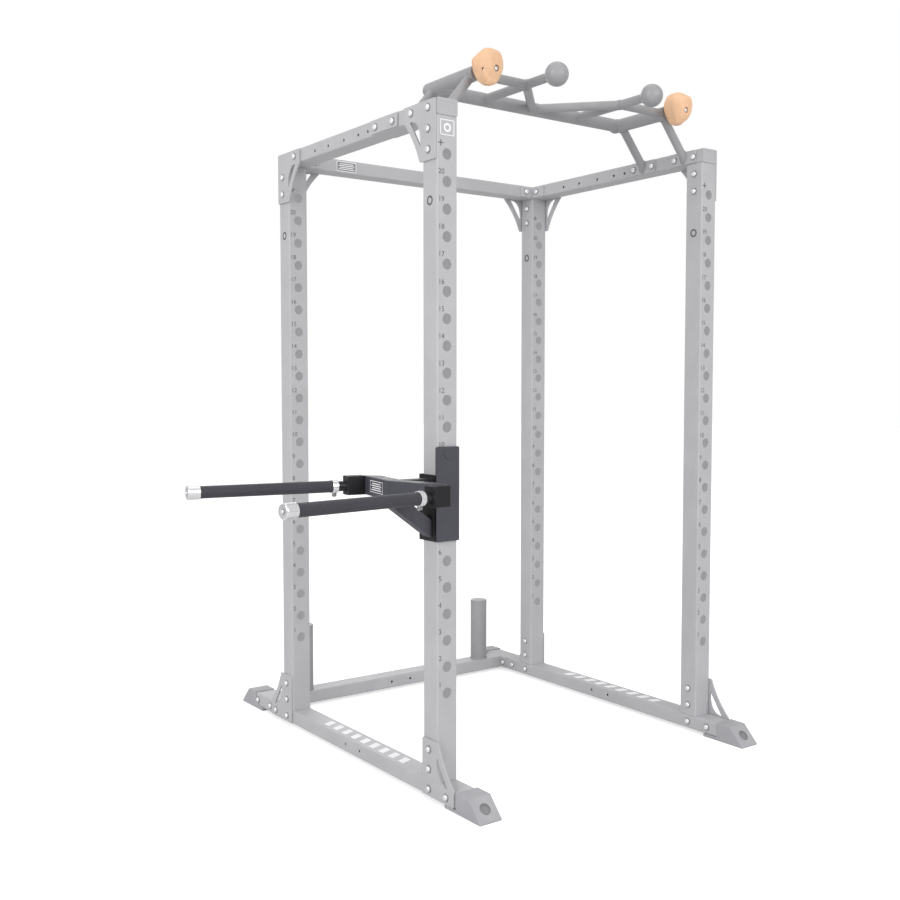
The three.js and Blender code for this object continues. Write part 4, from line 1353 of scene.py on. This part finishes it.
# ------------------------------------------------------------------ the dip station
@dataclass
class DipStation:
    """The saddle, its pin, the swept beam and the two arms."""

    clear: float = 2.7
    thick: float = 6.3
    lip: float = 36.0
    strut: float = 45.0
    sweep: float = 12.5
    front_half: float = 227.0
    back_half: float = 175.0
    beam_depth: float = 50.0
    splay: float = 8.3
    arm_height: float = 973.0
    arm_half_span: float = 232.0
    arm_root: float = -163.0
    arm_length: float = 502.0
    arm_radius: float = 16.0
    arm_inside: float = 40.0
    arm_short: float = 14.0
    ring_radius: float = 21.5
    collar_span: tuple[float, float] = (28.0, 47.4)
    grip_radius: float = 19.2
    grip_span: tuple[float, float] = (48.0, 463.7)
    cap_start: float = 464.0
    socket_width: float = 44.0
    socket_length: float = 60.0
    pin_radius: float = 15.0
    brace_rise: float = 0.721
    shoulder: float = 7.0
    label_middle: float = 100.0

    SIDES = 56

    @property
    def outer(self) -> float:
        """How far the saddle's outer faces stand from the upright's."""
        return self.clear + self.thick

    def build(self) -> None:
        """Makes the whole dip station."""
        self._saddle()
        self._pin()
        self._beam()
        self._neck()
        self._brace()
        for name, sign in (("front", -1), ("rear", 1)):
            self._arm(name, sign)

    def _put(self, work: Workpiece, node: str, finish: Finish, slot: Slot, suffix: str) -> None:
        """Makes a dip station piece that stands for one node."""
        work.piece(f"{node}_{suffix}", Body.DIP, slot, finish, [node])

    @staticmethod
    def channel(near: float, far: float, right: float, lip: float) -> Outline:
        """A channel in plan round the upright's front, left and back faces."""
        post = DATUM.post
        return [(right, -far), (right, -near), (-near, -near), (-near, post + near), (lip, post + near),
                (lip, post + far), (-far, post + far), (-far, -far)]

    def _saddle(self) -> None:
        """Makes the folded saddle with its taller front plate, and the liner inside it."""
        lo, hi = DATUM.span("dip_saddle")
        liner_lo, liner_hi = DATUM.span("dip_saddle_liner")
        right = DATUM.post + 2
        folded = self.channel(self.clear, self.outer, right, self.lip)
        height = liner_hi.z + self.shoulder - lo.z
        saddle = Workpiece().prism(folded, height, Matrix.Translation((0, 0, lo.z))).bevel(1.2, 3)
        pin = DATUM.span("dip_lock_pin")
        pin_z = (pin[0].z + pin[1].z) / 2
        face = rounded([(-self.outer, lo.z), (right, lo.z), (right, hi.z), (-self.outer, hi.z)], 5)
        front = axes((0, -self.clear, 0), TO_RIGHT, UP, TO_FRONT)
        bore = disc(self.pin_radius + GAP, (MIDDLE, pin_z))
        plate = Workpiece().prism(face, self.thick + 0.4, front, [bore])
        plate.bevel(1.0)
        # The channel is painted darker than the front plate: painted shade.
        self._put(saddle, "dip_saddle", SHADED_BLACK_PAINT, Slot.BLACK, "channel")
        plate.piece("dip_saddle_front_plate", Body.DIP, Slot.BLACK, BLACK_PAINT)
        sheet = self.channel(GAP, self.clear - GAP, right - 4, self.lip - 2)
        liner = Workpiece().prism(sheet, liner_hi.z - liner_lo.z, Matrix.Translation((0, 0, liner_lo.z)))
        self._put(liner.bevel(0.4), "dip_saddle_liner", LINER_PLASTIC, Slot.LINER, "sheet")

    def _pin(self) -> None:
        """Makes the lock pin with a grooved head."""
        lo, hi = DATUM.span("dip_lock_pin")
        r, length, head = self.pin_radius, hi.y - lo.y, (hi.z - lo.z) / 2
        dimple, chamfer, seat = 8.0, 1.6, 4.4
        tip = bend((r, length - 16), (r, length - 3), (r - 5, length - 3), 6)
        profile = [(0, 0.8), (dimple - 1, 0.8), (dimple, 0), (head - chamfer, 0), (head, chamfer),
                   (head, seat - 0.4), (r, seat), *tip, (0, length)]
        work = Workpiece().lathe(profile, aim((MIDDLE, lo.y, (lo.z + hi.z) / 2), TO_BACK))
        self._put(work, "dip_lock_pin", BLACK_PAINT, Slot.BLACK, "turning")

    def plan(self) -> Outline:
        """The swept beam's outline in plan."""
        apex = DATUM.span("dip_beam")[0].x
        slope = math.tan(math.radians(self.sweep))
        back = apex + self.beam_depth / math.cos(math.radians(self.sweep))
        front = (apex + self.front_half * slope, self.front_half)
        rear = (back + self.back_half * slope, self.back_half)
        return [(apex, MIDDLE), (front[0], MIDDLE - front[1]), (rear[0], MIDDLE - rear[1]), (back, MIDDLE),
                (rear[0], MIDDLE + rear[1]), (front[0], MIDDLE + front[1])]

    def _beam(self) -> None:
        """Makes the swept beam, the weld down its fold and its plain label."""
        lo, hi = DATUM.span("dip_beam")
        beam = Workpiece().prism(self.plan(), hi.z - lo.z, Matrix.Translation((0, 0, lo.z))).bevel(3.0, 4)
        self._put(beam, "dip_beam", BLACK_PAINT, Slot.BLACK, "tube")
        seam = [Vector((lo.x + 0.2, MIDDLE, lo.z + 3 + (hi.z - lo.z - 6) * i / 30)) for i in range(31)]
        loop = seam + [Vector((p.x + 1.2, MIDDLE, p.z)) for p in reversed(seam)]
        weld = Workpiece().sweep(loop, lambda i: 1.3 * (1 + 0.2 * math.sin(i * 2.3)), 8)
        weld.piece("dip_beam_fold_weld", Body.DIP, Slot.BLACK, BLACK_PAINT)
        sine, cosine = math.sin(math.radians(self.sweep)), math.cos(math.radians(self.sweep))
        along = self.label_middle
        start = (lo.x + along * sine, MIDDLE + along * cosine, (lo.z + hi.z) / 2 + 2)
        place = axes(start, (-sine, -cosine, 0), UP, (-cosine, sine, 0))
        LabelPlate(112, 36).build("dip_beam_label", Body.DIP, place, BLACK_PAINT)

    def _neck(self) -> None:
        """Makes the short box tube between the saddle and the beam."""
        lo, hi = DATUM.span("dip_neck")
        outline = rectangle(self.strut, hi.z - lo.z, 4)
        place = axes((lo.x, MIDDLE, (lo.z + hi.z) / 2), TO_BACK, UP, TO_RIGHT)
        work = Workpiece().prism(outline, hi.x - lo.x, place)
        seam = rectangle(self.strut + 2, hi.z - lo.z + 1, 5)
        edge = [place @ Vector((x, z, hi.x - lo.x - 1)) for x, z in seam]
        work.sweep(edge, lambda i: 2.4 * (1 + 0.15 * math.sin(i * 2.0)), 8)
        # The neck is painted darker than the beam: painted shade.
        self._put(work, "dip_neck", SHADED_BLACK_PAINT, Slot.BLACK, "tube")

    def _brace(self) -> None:
        """Makes the sloping brace under the beam."""
        lo, hi = DATUM.span("dip_brace")
        rise = self.brace_rise
        depth = self.strut / math.cos(math.atan(rise))
        side = [(hi.x, lo.z), (hi.x, lo.z + depth), (hi.x - (hi.z - lo.z - depth) / rise, hi.z), (lo.x, hi.z),
                (lo.x, lo.z + (hi.x - lo.x) * rise)]
        place = axes((0, MIDDLE - self.strut / 2, 0), TO_RIGHT, UP, TO_BACK)
        work = Workpiece().prism(side, self.strut, place)
        self._put(work.bevel(3.0, 4), "dip_brace", BLACK_PAINT, Slot.BLACK, "tube")

    def arm_place(self, sign: int) -> Matrix:
        """The axes at an arm's root, with the third axis along the arm."""
        angle = math.radians(self.splay)
        along = Vector((-math.cos(angle), sign * math.sin(angle), 0))
        across = along.cross(Vector(UP))
        origin = (self.arm_root, MIDDLE + sign * self.arm_half_span, self.arm_height)
        return axes(origin, tuple(across), UP, tuple(along))

    def _arm(self, row: str, sign: int) -> None:
        """Makes a socket, its arm and what is on the arm."""
        place = self.arm_place(sign)
        lo, hi = DATUM.span(f"dip_socket_{row}")
        top, low = hi.z - self.arm_height, lo.z - self.arm_height
        box = rectangle(self.socket_width, top - low, 3, (0, (top + low) / 2))
        inward = place @ Matrix.Translation((0, 0, -self.socket_length))
        block = Workpiece().prism(box, self.socket_length, inward).bevel(1.2, 3)
        r = self.arm_radius
        weld = [(r + 0.4, 0.2), (r + 3.5, 0.2), (r + 2.5, 2.6), (r + 0.4, 2.6)]
        block.lathe(weld, place, 40, closed=True)
        # The socket block is painted darker than the beam: painted shade.
        self._put(block, f"dip_socket_{row}", SHADED_BLACK_PAINT, Slot.BLACK, "block")
        screw = Workpiece()
        outward = -sign if (place.col[0].y * sign) < 0 else sign
        face = place @ Vector((self.socket_width / 2 * outward, 0, -26))
        SMALL_BOLT.put(screw, tuple(face), tuple(place.col[0][:3] if outward > 0 else -place.col[0].xyz))
        screw.piece(f"dip_socket_{row}_set_screw", Body.DIP, Slot.BLACK, PIN_STEEL, more=[PIN_STEEL])
        for name, profile, finish, slot, closed in self._turned_parts():
            work = Workpiece().lathe(profile, place, self.SIDES, closed)
            self._put(work, f"dip_{name}_{row}", finish, slot, "turning")
        lug = Workpiece().prism(rectangle(9, 14, 2, (0, -25)), 12, place @ Matrix.Translation((0, 0, 32)))
        lug.bevel(0.8)
        SMALL_BOLT.put(lug, tuple(place @ Vector((4.5, -27, 38))), tuple(place.col[0][:3]))
        lug.piece(f"dip_collar_{row}_lug", Body.DIP, Slot.CHROME, CHROME, more=[WASHER_PAINTED_SHADE])
        cap_screw = Workpiece()
        tip = place @ Vector((0, 0, self.arm_length - 1.2))
        SMALL_BOLT.put(cap_screw, tuple(tip), tuple(place.col[2][:3]))
        cap_screw.fasten(f"dip_end_cap_{row}_screw", body=Body.DIP)

    def groove(self, start: float, depth: float) -> Outline:
        """The profile of a groove turned round a collar or a cap."""
        wide = self.ring_radius
        return [(wide, start), (wide - depth, start + 0.8), (wide - depth, start + 2), (wide, start + 2.8)]

    def _turned_parts(self) -> list[tuple[str, Outline, Finish, Slot, bool]]:
        """The profiles of the arm, collar, grip and end cap, measured from the socket's face."""
        length, r, wide, rim = self.arm_length, self.arm_radius, self.ring_radius, self.grip_radius
        bore = r + GAP
        arm = [(0, -self.arm_inside), (r, -self.arm_inside), (r, length - self.arm_short),
               (0, length - self.arm_short)]
        low, high = self.collar_span
        collar = [(bore, low), (wide - 2, low), (wide, low + 2), *self.groove(low + 5.4, 0.8),
                  (wide, high - 1.9), (wide - 1.5, high), (bore, high)]
        low, high = self.grip_span
        grip = [(bore, low), (rim - 1, low), (rim, low + 1.2), (rim, low + 5), (rim - 0.6, low + 6),
                (rim - 0.6, high - 5.7), (rim, high - 4.7), (rim, high - 1.1), (rim - 1, high), (bore, high)]
        low, turn, sunk = self.cap_start, 4.0, length - 1.2
        cap = [(bore, low), (wide - 1, low), (wide, low + 1), *self.groove(low + 7, 0.6),
               (wide, length - turn), *arc((wide - turn, length - turn), turn, 0, 90, 6), (9.5, length),
               (8.7, sunk), (0, sunk)]
        return [("arm", arm, PIN_STEEL, Slot.BLACK, False), ("collar", collar, CHROME, Slot.CHROME, True),
                ("grip", grip, RUBBER, Slot.RUBBER, True), ("end_cap", cap, CHROME, Slot.CHROME, False)]


# ------------------------------------------------------------------ markings
@dataclass
class LabelPlate:
    """A thin plate with a pale border and no words: it holds plain bars, or a ring if that has a radius."""

    width: float
    height: float
    border: float = 1.8
    ring: float = 0.0
    rows: int = 4

    SHEET, PRINT = 0.7, 0.25

    def build(self, name: str, body: Body, place: Matrix, face: Finish) -> None:
        """Makes the plate and its border.

        Args:
            name: the start of the pieces' names.
            body: what they ride on.
            place: the plate's centre, with its third axis out of the surface.
            face: the finish inside the border.
        """
        slot = Slot.BLACK if body is Body.DIP else Slot.FRAME
        outer = rectangle(self.width, self.height, 3)
        plate = Workpiece().prism(outer, self.SHEET, place)
        plate.piece(f"{name}_plate", body, slot, face)
        inner = rectangle(self.width - 2 * self.border, self.height - 2 * self.border, 2)
        lifted = place @ Matrix.Translation((0, 0, self.SHEET))
        edge = Workpiece().prism(outer, self.PRINT, lifted, [inner])
        if self.ring:
            rim, hole = (disc(radius) for radius in (self.ring, self.ring * 0.6))
            edge.prism(rim, self.PRINT, lifted, [hole])
        pitch = (self.height - 2 * self.border) / (self.rows + 1)
        for index in range(0 if self.ring else self.rows):
            high = (index + 1) * pitch - self.height / 2 + self.border
            length = self.width * (0.8 - 0.12 * (index % 2))
            edge.prism(rectangle(length, pitch * 0.42, 0, (0, high)), self.PRINT, lifted)
        edge.piece(f"{name}_border", body, slot, WHITE_PRINT)


@dataclass
class HoleNumbers:
    """The numbers beside the uprights' holes, the plus signs, the rings and the plain labels."""

    cage: Cage
    size: float = 23.0
    left: float = 4.5
    rise: float = 22.0
    plus: float = 9.5
    ring_height: float = 1847.0
    ring_radius: float = 15.0
    front_label_z: float = 2062.0
    cross_label_x: float = 246.0
    thickness: float = 0.18

    SUNK = 0.05

    def build(self) -> None:
        """Makes what is printed on the uprights, and the two labels of the cage."""
        last = self.cage.hole_count - 1
        glyphs = [self._glyph(str(i + 1)) for i in range(last)]
        for row in Row:
            for side in Side:
                lo = DATUM.span(f"upright_{row.value}_{side.value}")[0]
                work = Workpiece()
                for index, mesh in enumerate(glyphs):
                    z = self.cage.hole_height(index) + self.rise
                    place = axes((lo.x + self.left, lo.y - self.SUNK, z), TO_RIGHT, UP, TO_FRONT)
                    copy = bmesh.new()
                    copy.from_mesh(mesh)
                    work.take(copy, place)
                high = self.cage.hole_height(last) + self.rise + self.plus
                centre = (lo.x + self.left + self.plus, lo.y - self.SUNK, high)
                work.prism(self._cross(), self.thickness, axes(centre, TO_RIGHT, UP, TO_FRONT))
                work.piece(f"upright_{row.value}_{side.value}_numbers", Body.RACK, Slot.FRAME, GREY_PRINT)
                spot = axes((lo.x - self.SUNK, lo.y + MIDDLE, self.ring_height), TO_BACK, UP, TO_LEFT)
                rim, hole = disc(self.ring_radius), disc(self.ring_radius * 0.6)
                ring = Workpiece().prism(rim, LabelPlate.PRINT, spot, [hole])
                ring.piece(f"upright_{row.value}_{side.value}_mark", Body.RACK, Slot.FRAME, GREY_PRINT)
        front = axes((MIDDLE, 0, self.front_label_z), TO_RIGHT, UP, TO_FRONT)
        LabelPlate(52, 47, 2.6, 13.0).build("upright_front_left_label", Body.RACK, front, FRAME_PAINT)
        lo, hi = DATUM.span("crossmember_top_rear")
        cross = axes((self.cross_label_x, lo.y, (lo.z + hi.z) / 2), TO_RIGHT, UP, TO_FRONT)
        LabelPlate(86, 38, 2.6).build("crossmember_top_rear_label", Body.RACK, cross, PLATE_FACE)

    def _cross(self) -> Outline:
        """The outline of the plus sign over the top hole."""
        arm, half = self.plus, self.plus * 0.17
        quarter = [(half, half), (half, arm), (-half, arm)]
        turns = ((1, 0), (0, 1), (-1, 0), (0, -1))
        return [(c * x - s * y, s * x + c * y) for c, s in turns for x, y in quarter]

    def _glyph(self, text: str) -> bpy.types.Mesh:
        """A number as a thin mesh, in millimetres."""
        curve = bpy.data.curves.new(f"glyph_{ord(text[0])}_{len(text)}", "FONT")
        curve.body, curve.size, curve.extrude = text, self.size, self.thickness
        curve.resolution_u = 4
        made = bpy.data.objects.new("glyph", curve)
        bpy.context.scene.collection.objects.link(made)
        graph = bpy.context.evaluated_depsgraph_get()
        mesh = bpy.data.meshes.new_from_object(made.evaluated_get(graph))
        bpy.data.objects.remove(made)
        return mesh


@dataclass
class RailStripes:
    """Slanted white bars printed on the base rails' top faces."""

    start: float = 218.0
    end: float = 750.0
    near: float = 17.0
    far: float = 57.0
    count: int = 9
    width: float = 30.0
    slant: float = 14.0
    thickness: float = 0.2

    def build(self) -> None:
        """Makes the bars of both rails."""
        top = DATUM.span("base_rail_left")[1].z
        pitch = (self.end - self.start - self.width - self.slant) / (self.count - 1)
        work = Workpiece()
        for index in range(self.count):
            y = self.start + index * pitch
            bar = [(self.near, y), (self.near, y + self.width), (self.far, y + self.width + self.slant),
                   (self.far, y + self.slant)]
            work.prism(rounded(bar, 3), self.thickness, Matrix.Translation((0, 0, top)))
        for side in Side:
            work.piece(f"base_rail_{side.value}_stripes", Body.RACK, Slot.FRAME, WHITE_PRINT,
                       place=side.matrix())


# ------------------------------------------------------------------ the studio
@dataclass
class Studio:
    """A pale floor, soft lights and the camera."""

    floor_size: float = 60.0
    floor_glow: float = 0.6
    sky_strength: float = 0.7
    lens: float = 43.53
    eye: Point = (-1904.2, -2689.5, 1276.6)
    yaw: float = 0.6279
    pitch: float = 0.0556

    def build(self) -> None:
        """Makes the floor, the lights, the sky and the camera."""
        self._floor()
        self._sky()
        centre = (cad_lo + cad_hi) / 2
        for name, offset, size, watts in (
            ("key_light", (0.9, -8.0, 2.8), 5.0, 240.0),
            ("side_light", (-8.0, -1.9, 2.4), 5.0, 310.0),
            ("top_light", (0.4, 0.6, 5.4), 4.0, 30.0),
            ("back_light", (3.5, 8.0, 2.8), 5.0, 110.0),
        ):
            self._light(name, centre, Vector(offset), size, watts)
        self._camera()

    def _floor(self) -> None:
        """A plain pale floor with a faint mottle, evenly bright to the eye out to its far edge."""
        half = self.floor_size / 2
        bm = bmesh.new()
        bmesh.ops.create_grid(bm, x_segments=8, y_segments=8, size=half)
        mesh = bpy.data.meshes.new("studio_floor")
        bm.to_mesh(mesh)
        bm.free()
        material = bpy.data.materials.new("pale_floor")
        material.use_nodes = True
        sheet = Sheet(material.node_tree)
        shader = material.node_tree.nodes["Principled BSDF"]
        where = sheet.node("ShaderNodeTexCoord").outputs["Object"]
        tone = sheet.mix(sheet.noise(where, 1.5), paint(208, 208, 208), paint(214, 214, 214))
        sheet.tree.links.new(tone, shader.inputs["Base Color"])
        seen = sheet.node("ShaderNodeLightPath").outputs["Is Camera Ray"]
        shader.inputs["Emission Color"].default_value = (1, 1, 1, 1)
        glow = sheet.math("MULTIPLY", seen, self.floor_glow)
        sheet.tree.links.new(glow, shader.inputs["Emission Strength"])
        shader.inputs["Roughness"].default_value = 0.8
        mesh.materials.append(material)
        floor = bpy.data.objects.new("studio_floor", mesh)
        bpy.context.scene.collection.objects.link(floor)

    def _sky(self) -> None:
        """An even white surround."""
        world = bpy.data.worlds.new("white_surround")
        world.use_nodes = True
        sheet = Sheet(world.node_tree)
        seen = sheet.node("ShaderNodeLightPath").outputs["Is Camera Ray"]
        lit = world.node_tree.nodes["Background"]
        lit.inputs["Color"].default_value = (1, 1, 1, 1)
        lit.inputs["Strength"].default_value = self.sky_strength
        plain = sheet.node("ShaderNodeBackground", i0=(1, 1, 1, 1), i1=1.0)
        mix = sheet.node("ShaderNodeMixShader", i0=seen, i1=lit.outputs[0], i2=plain.outputs[0])
        world.node_tree.links.new(mix.outputs[0], world.node_tree.nodes["World Output"].inputs["Surface"])
        bpy.context.scene.world = world
        bpy.context.scene.view_settings.view_transform = "Standard"

    @staticmethod
    def _light(name: str, centre: Vector, offset: Vector, size: float, watts: float) -> None:
        """A soft square light that looks at the rack's middle."""
        data = bpy.data.lights.new(name, "AREA")
        data.energy, data.size = watts, size
        lamp = bpy.data.objects.new(name, data)
        lamp.location = centre + offset
        lamp.rotation_euler = (-offset).to_track_quat("-Z", "Y").to_euler()
        bpy.context.scene.collection.objects.link(lamp)

    def _camera(self) -> None:
        """The camera, at eye height to the front left."""
        data = bpy.data.cameras.new("camera")
        data.lens, data.sensor_width = self.lens, 36.0
        data.clip_start, data.clip_end = 0.05, 200.0
        camera = bpy.data.objects.new("camera", data)
        camera.location = DATUM.matrix() @ Vector(self.eye)
        camera.rotation_euler = (math.pi / 2 - self.pitch, 0, -self.yaw)
        bpy.context.scene.collection.objects.link(camera)
        bpy.context.scene.camera = camera


def main() -> None:
    """Builds the sub-assemblies in order."""
    logging.basicConfig(level=logging.INFO, format="%(name)s: %(message)s")
    Studio().build()
    cage = Cage()
    for assembly in (cage, CornerPlates(), FloorShoes(), StoragePegs(), PullUpFrame(), DipStation(),
                     HoleNumbers(cage), RailStripes()):
        assembly.build()
        LOG.info("%s finished", type(assembly).__name__)


if __name__ == "__main__":
    main()
